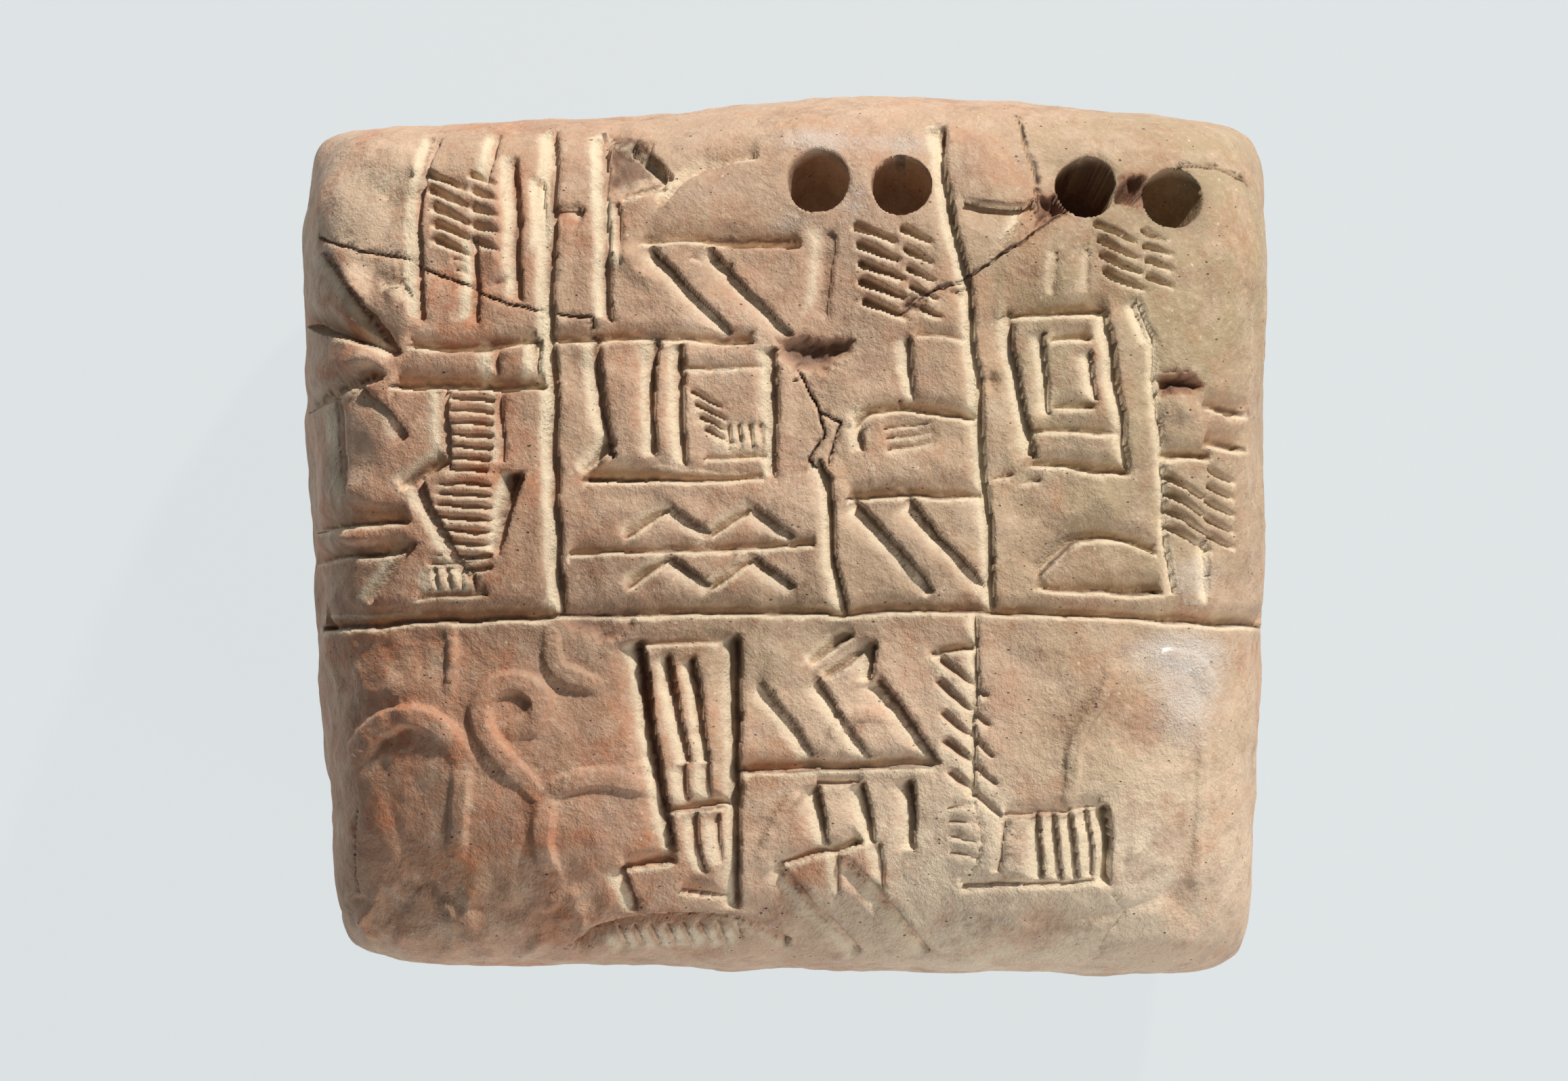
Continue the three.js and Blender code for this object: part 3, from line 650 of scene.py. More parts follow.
    def _middle_right(self) -> None:
        """Case seven: open brackets, a bow over a level stroke, and slants at the edge."""
        s = self.scribe
        s.wedge((19.6, 13.7), (13.5, 13.5), 1.1, 1.1, 0.7)
        s.line([(13.4, 13.5), (14.0, 9.5), (15.0, 5)], 0.8, 0.75)
        s.line([(19.4, 13.3), (20, 9), (20.8, 4.2)], 0.7, 0.75, crust=0.6)
        s.wedge((15.5, 12.3), (16.0, 7.6), 0.75, 0.7, 0.7)
        s.wedge((18.7, 12.2), (16.4, 12.0), 0.7, 0.7, 0.7)
        s.wedge((18.4, 11.3), (18.9, 8.2), 0.6, 0.6, 0.8)
        s.wedge((18.9, 7.8), (16.6, 7.9), 0.7, 0.8, 0.6, crust=0.4)
        s.wedge((20.6, 6.4), (14.7, 6.5), 0.7, 0.7, 0.6)
        s.wedge((21.0, 4.0), (15.2, 4.5), 1.0, 1.0, 0.6)
        s.line(
            [(15.3, -2.2), (17.3, -0.4), (19.4, 0.1), (21.4, -0.2), (22.8, -0.9)], 0.8, 0.85, bend=True,
        )
        s.wedge((23.0, -3.3), (15.4, -3.1), 0.95, 1.1, 0.5)
        s.slants((23.4, 3.9), (0.1, -1.05), (2.3, -1.5), 4, 0.72, 0.75)
        s.slants((26.0, 4.3), (0.0, -1.0), (1.5, -0.95), 5, 0.6, 0.65)
        s.wedge((25.6, -0.2), (25.7, -4.0), 0.8, 0.6, 0.5)
        s.row((28.5, 7.6), (0.0, -2.1), (-2.6, 0.5), 2, 1.3, 0.9, 0.9)
        s.wedge((26.0, 5.2), (23.1, 5.1), 1.3, 0.8, 0.9)
        s.row((14.0, 4.0), (1.6, -0.4), (-1.2, -0.4), 2, 0.7, 0.45)

    def _lower_register(self) -> None:
        """The tall comb, slants over level strokes, a feathered row, and a barred row."""
        s = self.scribe
        s.wedge((-9.2, -6.4), (-6.9, -19.0), 1.3, 1.6, 0.6)
        s.line([(-9, -6.5), (-3.5, -6.3)], 0.4, 0.4)
        s.wedge((-7.3, -7.3), (-6.0, -13.6), 0.8, 1.1, 0.5)
        s.wedge((-5.7, -7.4), (-4.8, -13.6), 0.8, 1.1, 0.5)
        s.row((-6.2, -13.9), (1.35, 0.1), (0.2, -2.1), 2, 0.6, 0.6, 0.8, crust=0.4)
        s.wedge((-3.2, -16.3), (-7.2, -16.6), 0.7, 1.0, 0.5)
        s.wedge((-5.7, -16.8), (-5.0, -20.2), 0.7, 0.7, 0.6)
        s.wedge((-4.4, -17.1), (-4.0, -19.7), 0.7, 0.6, 0.6)
        s.wedge((-6.7, -19.6), (-9.7, -20.0), 0.9, 0.8, 0.8)
        s.wedge((-10.2, -20.2), (-9.2, -22.5), 0.9, 0.8, 0.6)
        s.line([(-6.3, -21.5), (-3, -21.9)], 0.5, 0.5)
        s.row((4.0, -5.8), (1.0, -0.9), (-2.4, -1.9), 2, 0.8, 0.8, 0.8)
        s.wedge((5.4, -6.4), (5.1, -8.7), 0.9, 1.2, 0.7)
        s.row((-1.6, -8.9), (3.4, 0.0), (3.3, -4.6), 2, 0.8, 0.8, 0.6)
        s.wedge((5.5, -8.8), (9.2, -13.8), 1.1, 1.2, 0.6)
        s.wedge((1.8, -15.4), (2.4, -18.8), 0.9, 1.1, 0.6)
        s.wedge((4.6, -15.2), (5.2, -18.6), 0.9, 1.0, 0.6)
        s.wedge((7.6, -15.0), (7.8, -19.0), 0.9, 1.1, 0.6)
        s.line([(2.0, -15.1), (4.6, -15)], 0.4, 0.4)
        s.wedge((4.6, -18.5), (-0.6, -20.1), 0.8, 0.9, 0.4)
        s.row((-0.7, -20.2), (4.3, 0.3), (5.0, -5.3), 2, 0.9, 0.9, 0.6)
        s.row((2.9, -19.0), (2.6, 0.1), (0.4, -2.6), 2, 0.6, 0.5, 0.5)
        s.slants((8.9, -7.0), (0.25, -1.85), (3.1, -2.7), 5, 0.7, 0.7)
        s.wedge((11.4, -6.5), (9.0, -7.0), 0.9, 0.9, 0.6)
        s.row((9.9, -16.4), (0.1, -1.0), (1.6, -0.2), 4, 0.45, 0.35)
        s.line([(13.4, -17), (19.4, -16.5)], 0.5, 0.5)
        s.line([(10.9, -21.6), (15, -21.3), (19.7, -20.9)], 0.4, 0.45)
        s.row((15.2, -17.0), (1.0, 0.06), (0.35, -3.9), 4, 0.95, 0.75, 0.85)
        s.wedge((19.5, -16.5), (19.5, -20.9), 0.9, 1.2, 0.8)
        s.line([(13.4, -17), (13.1, -20.6)], 0.35, 0.3)
        s.slants((-10.4, -24.0), (1.0, 0.06), (0.55, -1.0), 8, 0.6, 0.6)
        s.fold(
            [(-12.9, -25.0), (-11.0, -23.7), (-7.0, -23.0), (-3.0, -23.3), (0.3, -24.9)], 0.95, 1.1,
            flip=True,
        )

    def _cracks(self) -> None:
        """The joins of the mended breaks, and fine cracks of drying."""
        mends = (
            (
                [
                    (-28.6, 18.3), (-27.0, 17.7), (-22.8, 16.7), (-21.6, 16.0), (-19.0, 15.0),
                    (-17.1, 14.1), (-14.7, 13.7), (-11.8, 13.2), (-11.5, 12.0),
                ],
                0.34, 0.9,
            ),
            ([(14.1, 25.7), (14.9, 23.5), (15.4, 22), (15.4, 19.5)], 0.4, 0.9),
            (
                [
                    (17.4, 20.0), (15.1, 18.3), (13.0, 17.0), (11.4, 15.8), (10.7, 15.3), (9.1, 14.9),
                    (7.1, 13.3),
                ],
                0.42, 1.0,
            ),
            ([(22.1, 21.2), (23.2, 22.3), (24.7, 22.7), (26.6, 22.6), (28.7, 21.6)], 0.36, 0.9),
            ([(0.9, 9.9), (2.1, 7.7), (2.6, 6.0), (1.6, 4.6), (2.1, 4.0)], 0.5, 1.0),
            ([(2.1, 7.7), (3.4, 6.7), (2.8, 4.4)], 0.4, 0.8),
            ([(0.5, 9.4), (1.0, 9.6)], 0.3, 0.6),
        )
        fine = (
            ([(0.2, 25.3), (0.5, 23.6), (1.4, 22.4)], 0.2, 0.35),
            ([(0.95, 19.8), (0.6, 18.2)], 0.2, 0.3),
            ([(-26.3, -16.4), (-26.5, -19), (-26.1, -22.1)], 0.18, 0.3),
            ([(-7.3, -15.9), (-7.0, -17.4), (-7.3, -18.4)], 0.2, 0.4),
            ([(19.8, -21.7), (20.9, -22.8), (19.7, -24.4), (19.0, -25.9)], 0.18, 0.3),
            ([(11.5, -16), (12.0, -18.5), (11.3, -21.2)], 0.2, 0.4),
        )
        for route, width, depth in (*mends, *fine):
            path = np.asarray(route, float)
            rng = np.random.default_rng(int(abs(path[0, 0]) * 100))
            shares = np.linspace(0, len(path) - 1, (len(path) - 1) * 5 + 1)
            walk = np.column_stack(
                [np.interp(shares, np.arange(len(path)), path[:, k]) for k in (0, 1)]
            )
            walk[1:-1] += rng.normal(0.0, 0.035, (len(walk) - 2, 2))
            for a, b in zip(walk, walk[1:]):
                opened = width * rng.uniform(0.85, 1.15)
                self.cracks.append(Stroke(tuple(a), tuple(b), opened, 0.7 * depth, 1.0, 0.0, False))

    def _chips(self) -> tuple[Chip, ...]:
        """Where clay is gone along the breaks, in the middle and at the foot."""
        return (
            Chip(
                (
                    (-0.8, 12.1), (1.4, 12.3), (4.4, 12.1), (4.3, 11.2), (2.7, 9.9), (0.5, 9.9),
                    (-0.6, 10.8),
                ),
                0.8, 1.1, 0.8,
            ),
            Chip(((22.7, 9.9), (24.6, 10.1), (25.9, 9.2), (25.0, 8.6), (22.7, 8.2)), 1.0, 1.3, 0.9),
            Chip(((22.4, 7.1), (23.1, 7.0), (23.0, 5.9), (22.5, 5.9)), 0.9),
            Chip(
                ((19.8, 21.6), (21.3, 22.4), (23.0, 21.9), (22.8, 20.7), (21.4, 19.7), (19.6, 20.3)),
                1.5,
            ),
            Chip(((15.4, 20.7), (16.9, 21.0), (17.5, 19.9), (15.2, 18.2)), 1.2),
            Chip(
                ((-10.6, 24.9), (-8.2, 24.2), (-7.2, 22.0), (-8.6, 20.6), (-10.6, 20.9)), 0.7, 1.4, 0.5,
            ),
            Chip(((9.9, 14.8), (11.0, 15.6), (11.5, 14.6), (10.2, 14.2)), 0.7),
            Chip(((7.1, 14.4), (8.4, 14.9), (8.8, 13.6), (7.3, 12.9)), 0.6),
            Chip(((-14.2, -4.4), (-8.8, -4.3), (-9.6, -6.2), (-11.0, -6.6), (-13.2, -5.7)), 0.45, 1.0),
        )

    def _seal_bands(self) -> tuple[Band, ...]:
        """What the rolled seal left standing: hounds with curled tails, and taller figures."""
        return (
            Band(
                (
                    (-14.9, -15.8), (-17.0, -13.8), (-18.4, -11.7), (-18.5, -10.1), (-17.4, -9.1),
                    (-15.9, -9.1), (-14.9, -10.2), (-15.3, -11.4), (-16.4, -11.7),
                ),
                1.7, 0.42,
            ),
            Band(((-14.9, -15.7), (-12.4, -14.8), (-9.6, -14.9), (-7.8, -15.4)), 1.6, 0.3),
            Band(((-14.6, -16.2), (-14.9, -18.6), (-14.2, -21.0)), 1.8, 0.3),
            Band(
                ((-26.6, -13.6), (-25.1, -11.8), (-22.7, -11.0), (-20.9, -11.7), (-19.6, -13.6)), 1.9,
                0.38,
            ),
            Band(((-19.6, -13.6), (-19.8, -16.5), (-20.2, -19.4)), 1.6, 0.26),
            Band(((-14.3, -6.2), (-14.0, -8.3), (-11.7, -9.1)), 1.5, 0.4),
            Band(((-20.5, -5.9), (-20.4, -9.2)), 0.9, 0.25),
            Band(((19.7, -8.4), (18.9, -10.2), (17.9, -12.7), (17.4, -16.0)), 1.2, 0.3),
            Band(((21.8, -8.6), (23.2, -7.3), (25.0, -7.8), (26.2, -9.6)), 1.3, 0.16),
            Band(((25.2, -12.0), (25.4, -16.0), (25.1, -20.8)), 0.9, 0.12),
            Band(((2.6, -12.9), (4.0, -11.0), (7.2, -11.2)), 1.1, 0.12),
            Band(((-1.6, -19.3), (0.2, -16.4), (1.0, -15.8)), 0.8, 0.16),
            Band(((-9.9, -14.6), (-8.3, -14.3)), 1.2, 0.2),
        )

    def _mounds(self) -> tuple[Mound, ...]:
        """Swellings and thumbed hollows of the clay."""
        rng = np.random.default_rng(11)
        dapple = [
            Mound(
                (rng.uniform(-27, -9), rng.uniform(-26, -21.5)), rng.uniform(0.9, 2.0),
                rng.uniform(0.7, 1.4), rng.uniform(0.1, 0.26), rng.uniform(0, 180),
            )
            for _ in range(48)
        ]
        return (
            *dapple,
            Mound((-12.2, -17.4), 7.5, 4.0, 0.35, 10),
            Mound((-4.6, 20.8), 5.8, 3.4, 0.4, 25),
            Mound((-4.4, 22.6), 4.6, 1.6, -0.35, 12),
            Mound((12.4, 21.6), 4.4, 5.6, 0.25),
            Mound((1.9, 16.6), 1.9, 5.6, -0.28, 3),
            Mound((14.9, 15.9), 1.6, 3.0, -0.12),
            Mound((-24.7, 7.2), 3.6, 5.6, 0.7, -8),
            Mound((-26.6, 14.8), 2.6, 3.8, 0.8, 20),
            Mound((-25.6, 10.8), 4.0, 2.6, 0.9, 15),
            Mound((-26.3, -0.3), 4.6, 1.4, 0.6, 4),
            Mound((-26.2, 2.6), 3.2, 2.4, 0.4, 10),
            Mound((-23.4, 14.2), 3.0, 5.0, 0.4, 12),
            Mound((-9.6, 8.4), 2.2, 6.0, 0.25, 3),
            Mound((0.6, 2.4), 4.6, 3.2, 0.3, 25),
            Mound((16.6, 0.9), 5.0, 2.2, -0.18, -10),
            Mound((6.9, 4.4), 6.0, 2.0, 0.22),
            Mound((-1.1, -7.6), 3.4, 4.2, 0.35, -20),
            Mound((-2.6, -2.6), 8.0, 2.4, 0.2),
            Mound((21.3, -19.1), 1.2, 2.2, 0.25, -15),
            Mound((14.0, -7.8), 3.0, 2.0, -0.15),
            Mound((11.2, -23.4), 9.0, 3.0, 0.15),
            Mound((-20.2, 6.5), 2.6, 4.5, 0.12),
            Mound((24.3, 7.6), 2.8, 2.0, 0.55, -20),
            Mound((17.4, 1.2), 2.6, 1.4, 0.45, 35),
            Mound((19.4, 2.3), 2.6, 2.2, 0.4),
            Mound((12.5, 9.3), 1.3, 1.2, -0.5, 20),
            Mound((-12.8, 10.4), 2.6, 2.6, -0.35),
            Mound((-9.6, 10.6), 2.2, 2.2, -0.3),
            Mound((-17.7, 19.0), 1.3, 8.5, 0.45),
            Mound((-17.6, 15.4), 1.6, 0.9, -0.5, 20),
            Mound((-10.3, 20.8), 0.9, 0.8, -0.6),
            Mound((-9.6, 16.9), 3.0, 1.4, 0.5, -12),
            Mound((-8.6, 15.7), 2.4, 1.0, 0.35, -30),
            Mound((12.6, 22.8), 4.4, 5.0, 0.4),
            Mound((2.0, -2.0), 2.6, 4.0, 0.3),
            Mound((8.6, -1.0), 3.0, 3.4, 0.3, -40),
            Mound((15.5, 16.4), 3.4, 3.0, 0.3),
        )

    def marks(self, place: np.ndarray) -> Marks:
        """What every mark does at those places of the face.

        Args:
            place: Points of the plain cushion, in millimetres.

        Returns:
            The marks, one number for each place.
        """
        flat = place * (1.0, 1.0, 0.0)
        x = place[:, 0] + 0.13 * value_noise(flat, 1.9, 3) + 0.05 * value_noise(flat, 0.5, 4)
        y = place[:, 1] + 0.13 * value_noise(flat, 1.9, 5) + 0.05 * value_noise(flat, 0.5, 6)
        size = len(place)
        m = Marks.none(size)
        self.scribe.press(x, y, m)
        grain = value_noise(flat, 0.28, 21)
        lumps = value_noise(flat, 0.6, 22)
        patches = 0.5 + 0.5 * value_noise(flat, 2.3, 23)
        m.crust *= np.clip(0.2 + 1.1 * patches, 0.0, 1.0)
        fill = m.crust * np.clip(0.35 + 0.45 * lumps + 0.3 * grain, 0.0, 1.0)
        m.cut *= 1.0 - 0.7 * fill
        cracked = Marks.none(size)
        Scribe(
            self.cracks, slot=1.0, shift=0.0, steep=1.0, lean=1.0, shelf=0.0, reach=0.2,
        ).press(x, y, cracked)
        m.crack = cracked.cut
        m.cut = np.maximum(m.cut, cracked.cut)
        rubble = 0.5 * value_noise(flat, 1.1, 31) + 0.35 * value_noise(flat, 0.45, 32)
        for chip in self.chips:
            inset = polygon_inset(x + 0.25 * lumps, y + 0.2 * grain, chip.rim)
            depth = np.clip(inset * chip.slope, 0.0, chip.depth) * (1.0 + 0.35 * rubble)
            m.cut = np.maximum(m.cut, depth)
            m.chip = np.maximum(
                m.chip, np.clip(inset / 0.15, 0.0, 1.0) * min(1.0, chip.depth) * chip.raw,
            )
        worn = stains_at(x, y, self.worn_zones)
        m.raised = self._bands_at(x, y) + worn * (0.2 * fractal_noise(flat, 1.5, 61) - 0.05)
        for mound in self.mounds:
            c, s = math.cos(math.radians(mound.turn)), math.sin(math.radians(mound.turn))
            dx, dy = x - mound.at[0], y - mound.at[1]
            u = (dx * c + dy * s) / (mound.length / 2)
            v = (-dx * s + dy * c) / (mound.width / 2)
            near = u * u + v * v < 4
            m.raised[near] += mound.height * np.exp(-1.4 * (u[near] ** 2 + v[near] ** 2))
        for pit in self.pits:
            away = np.hypot(place[:, 0] - pit.at[0], place[:, 1] - pit.at[1])
            keep = smoothstep(pit.radius * 1.0, pit.radius * 1.06, away)
            for name in ("cut", "bank", "lip", "edge", "crust", "crack", "chip"):
                getattr(m, name)[:] *= keep
            m.raised *= keep
        return m

    def _bands_at(self, x: np.ndarray, y: np.ndarray) -> np.ndarray:
        """The height of the raised bands: flat on top, with rounded shoulders."""
        height = np.zeros(len(x))
        for band in self.bands:
            path = smooth_path(band.route, 5)
            half = band.width / 2
            low, high = path.min(axis=0) - half, path.max(axis=0) + half
            near = np.flatnonzero((x > low[0]) & (x < high[0]) & (y > low[1]) & (y < high[1]))
            best = np.zeros(len(near))
            for k, (a, b) in enumerate(zip(path, path[1:])):
                run = b - a
                t = np.clip(((x[near] - a[0]) * run[0] + (y[near] - a[1]) * run[1]) / (run @ run), 0, 1)
                away = np.hypot(x[near] - a[0] - t * run[0], y[near] - a[1] - t * run[1])
                worn = min(1.0, 0.35 + 3.0 * min(k, len(path) - 2 - k) / len(path))
                best = np.maximum(best, worn * smoothstep(0.0, 1.0, (1.0 - away / half) * 1.9))
            height[near] = np.maximum(height[near], BAND_RELIEF * band.height * best)
        return height * (1.0 + 0.25 * value_noise(np.column_stack([x, y, 0 * x]), 2.5, 51))


# ---------------------------------------------------------------- shaders


class Expr:
    """A shader socket that arithmetic can be written on."""

    def __init__(self, tree: bpy.types.NodeTree, socket: bpy.types.NodeSocket) -> None:
        """Wraps a socket of a tree."""
        self.tree, self.socket = tree, socket

    def _math(self, operation: str, *values: "Expr | float") -> "Expr":
        """A Math node on those values."""
        node = self.tree.nodes.new("ShaderNodeMath")
        node.operation = operation
        for slot, value in zip(node.inputs, values):
            if isinstance(value, Expr):
                self.tree.links.new(value.socket, slot)
            else:
                slot.default_value = value
        return Expr(self.tree, node.outputs[0])

    def __add__(self, other: "Expr | float") -> "Expr":
        """Sum."""
        return self._math("ADD", self, other)

    __radd__ = __add__

    def __mul__(self, other: "Expr | float") -> "Expr":
        """Product."""
        return self._math("MULTIPLY", self, other)

    __rmul__ = __mul__

    def __sub__(self, other: "Expr | float") -> "Expr":
        """Difference."""
        return self._math("SUBTRACT", self, other)

    def __rsub__(self, other: float) -> "Expr":
        """Difference from a number."""
        return self._math("SUBTRACT", other, self)

    def clamped(self) -> "Expr":
        """Held between 0 and 1."""
        return self._math("MINIMUM", self._math("MAXIMUM", self, 0.0), 1.0)

    def ramp(self, low: float, high: float) -> "Expr":
        """0 at low and below, 1 at high and above, straight between."""
        return ((self - low) * (1.0 / (high - low))).clamped()


class Dresser:
    """Builds one material's nodes."""

    def __init__(self, name: str) -> None:
        """Starts an empty material with its shader and its output."""
        self.material = bpy.data.materials.new(name)
        self.material.use_nodes = True
        self.tree = self.material.node_tree
        self.tree.nodes.clear()
        self.shader = self.tree.nodes.new("ShaderNodeBsdfPrincipled")
        output = self.tree.nodes.new("ShaderNodeOutputMaterial")
        self.tree.links.new(self.shader.outputs[0], output.inputs[0])

    def node(
        self, kind: str, settings: dict[str, object], output: str | int = 0, **values: object,
    ) -> Expr:
        """Makes a node, sets it up and feeds it.

        Args:
            kind: The node's type.
            settings: Its properties, set first.
            output: The output to return.
            **values: Numbers, colours or expressions for its sockets, by name with _ for a space.

        Returns:
            The output, ready for arithmetic.
        """
        node = self.tree.nodes.new(kind)
        for key, value in settings.items():
            setattr(node, key, value)
        for key, value in values.items():
            name = key.replace("_", " ")
            slot = next(s for s in node.inputs if s.name == name and s.enabled)
            if isinstance(value, Expr):
                self.tree.links.new(value.socket, slot)
            else:
                slot.default_value = value
        found = node.outputs[output] if isinstance(output, int) else next(
            s for s in node.outputs if s.name == output and s.enabled
        )
        return Expr(self.tree, found)

    def noise(
        self, size: float, detail: float = 3.0, rough: float = 0.55,
        stretch: Sequence[float] = (1, 1, 1), warp: float = 0.0,
    ) -> Expr:
        """Noise in the piece's own space, with features of about size millimetres."""
        place = self.node("ShaderNodeTexCoord", {}, "Object")
        turn = (0.6 + size, 0.4 + 2 * size, 0.9 + 3 * size)
        place = self.node("ShaderNodeMapping", {}, 0, Vector=place, Rotation=turn, Scale=tuple(stretch))
        return self.node(
            "ShaderNodeTexNoise", {}, 0, Vector=place, Scale=1.0 / (size * MM), Detail=detail,
            Roughness=rough, Distortion=warp,
        )

    def cells(self, size: float, stretch: Sequence[float] = (1, 1, 1)) -> Expr:
        """Distance to the nearest of random points about size millimetres apart, in cells."""
        place = self.node("ShaderNodeTexCoord", {}, "Object")
        place = self.node("ShaderNodeMapping", {}, 0, Vector=place, Scale=tuple(stretch))
        return self.node("ShaderNodeTexVoronoi", {}, 0, Vector=place, Scale=1.0 / (size * MM))

    def attribute(self, name: str) -> Expr:
        """One of the mesh's own numbers."""
        return self.node("ShaderNodeAttribute", {"attribute_name": name}, "Fac")

    def blend(self, share: Expr | float, first: Expr | Colour, second: Expr | Colour) -> Expr:
        """Colour first, turning to second as share goes to 1."""
        ready = [c if isinstance(c, Expr) else (*c, 1.0) for c in (first, second)]
        return self.node(
            "ShaderNodeMix", {"data_type": "RGBA"}, "Result", Factor=share, A=ready[0], B=ready[1],
        )

    def wire(self, socket: str, value: Expr) -> None:
        """Feeds one socket of the shader."""
        self.tree.links.new(value.socket, self.shader.inputs[socket])


def srgb(red: int, green: int, blue: int) -> Colour:
    """A screen colour of 0 to 255 as linear light."""
    return tuple(
        ((c / 255 + 0.055) / 1.055) ** 2.4 if c > 10 else c / 3294.6 for c in (red, green, blue)
    )


@dataclass(frozen=True)
class Clay:
    """Fired-looking dry clay: tan, with warm and olive zones, dark pores and cracks, crust, glossy
    patches, and painted shade and light.
    """

    tan: Colour = srgb(206, 172, 143)
    warm: Colour = srgb(196, 142, 110)
    olive: Colour = srgb(180, 160, 124)
    # paler clay; also used for the painted rim highlights and, in part, painted light
    pale: Colour = srgb(232, 211, 182)
    light: Colour = srgb(226, 200, 172)
    deep: Colour = srgb(160, 118, 92)
    # dark brown of the pores and the crack lines
    crack_and_pore_brown: Colour = srgb(76, 54, 42)
    # painted shade for the grooves
    painted_groove_shade: Colour = srgb(88, 62, 47)
    rust: Colour = srgb(198, 124, 82)
    grey: Colour = srgb(176, 150, 134)
    # painted shade for the insides of the pits
    painted_pit_shade: Colour = srgb(72, 46, 34)
    # darker clay, and in part painted shade
    dull_and_painted_shade: Colour = srgb(122, 98, 76)
    break_red: Colour = srgb(160, 114, 88)
    crust: Colour = srgb(232, 214, 182)
    # near-white of the painted sheen in the glossy patches
    painted_sheen: Colour = srgb(246, 242, 238)

    def dress(self) -> bpy.types.Material:
        """Builds the material.

        Returns:
            The clay, which reads the mesh's own numbers for its zones and marks.
        """
        d = Dresser("dry clay")
        broad, middle, fine = d.noise(9, 4), d.noise(2.2, 5, 0.65), d.noise(0.4, 4, 0.7)
        zone = broad - 0.5
        colour = d.blend((d.attribute("warm") + zone * 1.5).clamped(), self.tan, self.warm)
        colour = d.blend((d.attribute("olive") + zone * -1.2).clamped(), colour, self.olive)
        # The pale zones are partly paler clay and partly painted light on the left margin and the lower
        # right.
        colour = d.blend((d.attribute("pale") + zone * 0.6).clamped(), colour, self.pale)
        colour = d.blend(
            (d.noise(4.5, 4, 0.7).ramp(0.5, 0.66) * (0.35 + d.attribute("warm") * 0.6)), colour,
            self.rust,
        )
        colour = d.blend(d.noise(3.4, 4, 0.7).ramp(0.54, 0.68) * 0.35, colour, self.grey)
        colour = d.blend(middle.ramp(0.5, 0.64) * 0.4, colour, self.light)
        colour = d.blend(d.noise(2.9, 5, 0.75).ramp(0.52, 0.66) * 0.5, colour, self.deep)
        # The darker zones are partly darker clay and partly painted shade.
        colour = d.blend(d.attribute("dull_and_painted_shade") * 0.5, colour, self.dull_and_painted_shade)
        # Painted highlight: pale along the stroke rims that face the light.
        colour = d.blend(d.attribute("edge") * (0.25 + middle * 0.7), colour, self.pale)
        colour = d.blend(fine.ramp(0.5, 0.7) * 0.3, colour, self.light)
        colour = d.blend(d.noise(0.24, 3, 0.7).ramp(0.52, 0.72) * 0.35, colour, self.deep)
        # Pores are darkened to a dark brown.
        pores = 1.0 - (d.cells(0.9, (1.0, 1.5, 1.2)) + d.noise(1.6, 2) * 0.24).ramp(0.15, 0.2)
        colour = d.blend(pores * 0.8, colour, self.crack_and_pore_brown)
        grit = d.cells(0.8, (1.1, 0.9, 1.2))
        colour = d.blend(
            (1.0 - grit.ramp(0.08, 0.16)) * d.noise(2.0).ramp(0.5, 0.6) * 0.6, colour, self.crust,
        )
        chip = d.attribute("chip")
        colour = d.blend((chip * (0.25 + middle)).clamped(), colour, self.break_red)
        # Painted shade in the grooves: darker the deeper the cut.
        groove = d.attribute("groove")
        colour = d.blend((groove.ramp(0.25, 0.9) * (0.3 + fine * 0.8)).clamped(), colour, self.painted_groove_shade)
        # Crust crumbs and painted rim light: crust-coloured specks only along the rims that face the
        # light.
        crumbs_and_painted_rim_light = (d.attribute("edge") * 1.0 - 1.35 + d.noise(0.9, 5, 0.85) * 2.3).clamped() * 0.8
        colour = d.blend(crumbs_and_painted_rim_light, colour, self.crust)
        # Crack lines are darkened to the same dark brown.
        colour = d.blend(d.attribute("crack").ramp(0.2, 0.8) * 0.85, colour, self.crack_and_pore_brown)
        flakes = (d.attribute("crust") * 1.5 - 1.45 + d.noise(0.35, 4, 0.8) * 1.9).clamped()
        colour = d.blend(flakes * 0.85, colour, self.crust)
        # Painted shade inside the pits, strongest in the third.
        pit = d.attribute("pit")
        colour = d.blend((pit * (0.8 + fine * 0.4)).clamped(), colour, self.painted_pit_shade)
        # The glossy patches get a real coat and lower roughness, and their colour turns to near-white
        # specks: a painted sheen.
        gloss_and_painted_sheen = (d.attribute("gloss_and_painted_sheen") * 1.3 - 1.2 + d.noise(0.45, 4, 0.8) * 1.7).clamped()
        colour = d.blend(gloss_and_painted_sheen * 0.45, colour, self.painted_sheen)
        d.wire("Base Color", colour)
        d.wire("Roughness", 0.74 - gloss_and_painted_sheen * 0.5 - middle * 0.16)
        d.wire("Coat Weight", gloss_and_painted_sheen)
        d.shader.inputs["Coat Roughness"].default_value = 0.28
        d.shader.inputs["Specular IOR Level"].default_value = 0.5
        sand = d.noise(0.16, 3, 0.7)
        wavy = d.noise(1.1, 4, 0.6)
        height = fine * 0.45 + sand * 0.3 + wavy * 1.3 + gloss_and_painted_sheen * sand * 0.8 - pores * 1.0
        height = height + flakes * 0.7 * d.noise(0.22, 2, 0.6)
        bump = d.node("ShaderNodeBump", {}, 0, Strength=0.9, Distance=0.0002, Height=height)
        d.wire("Normal", bump)
        return d.material


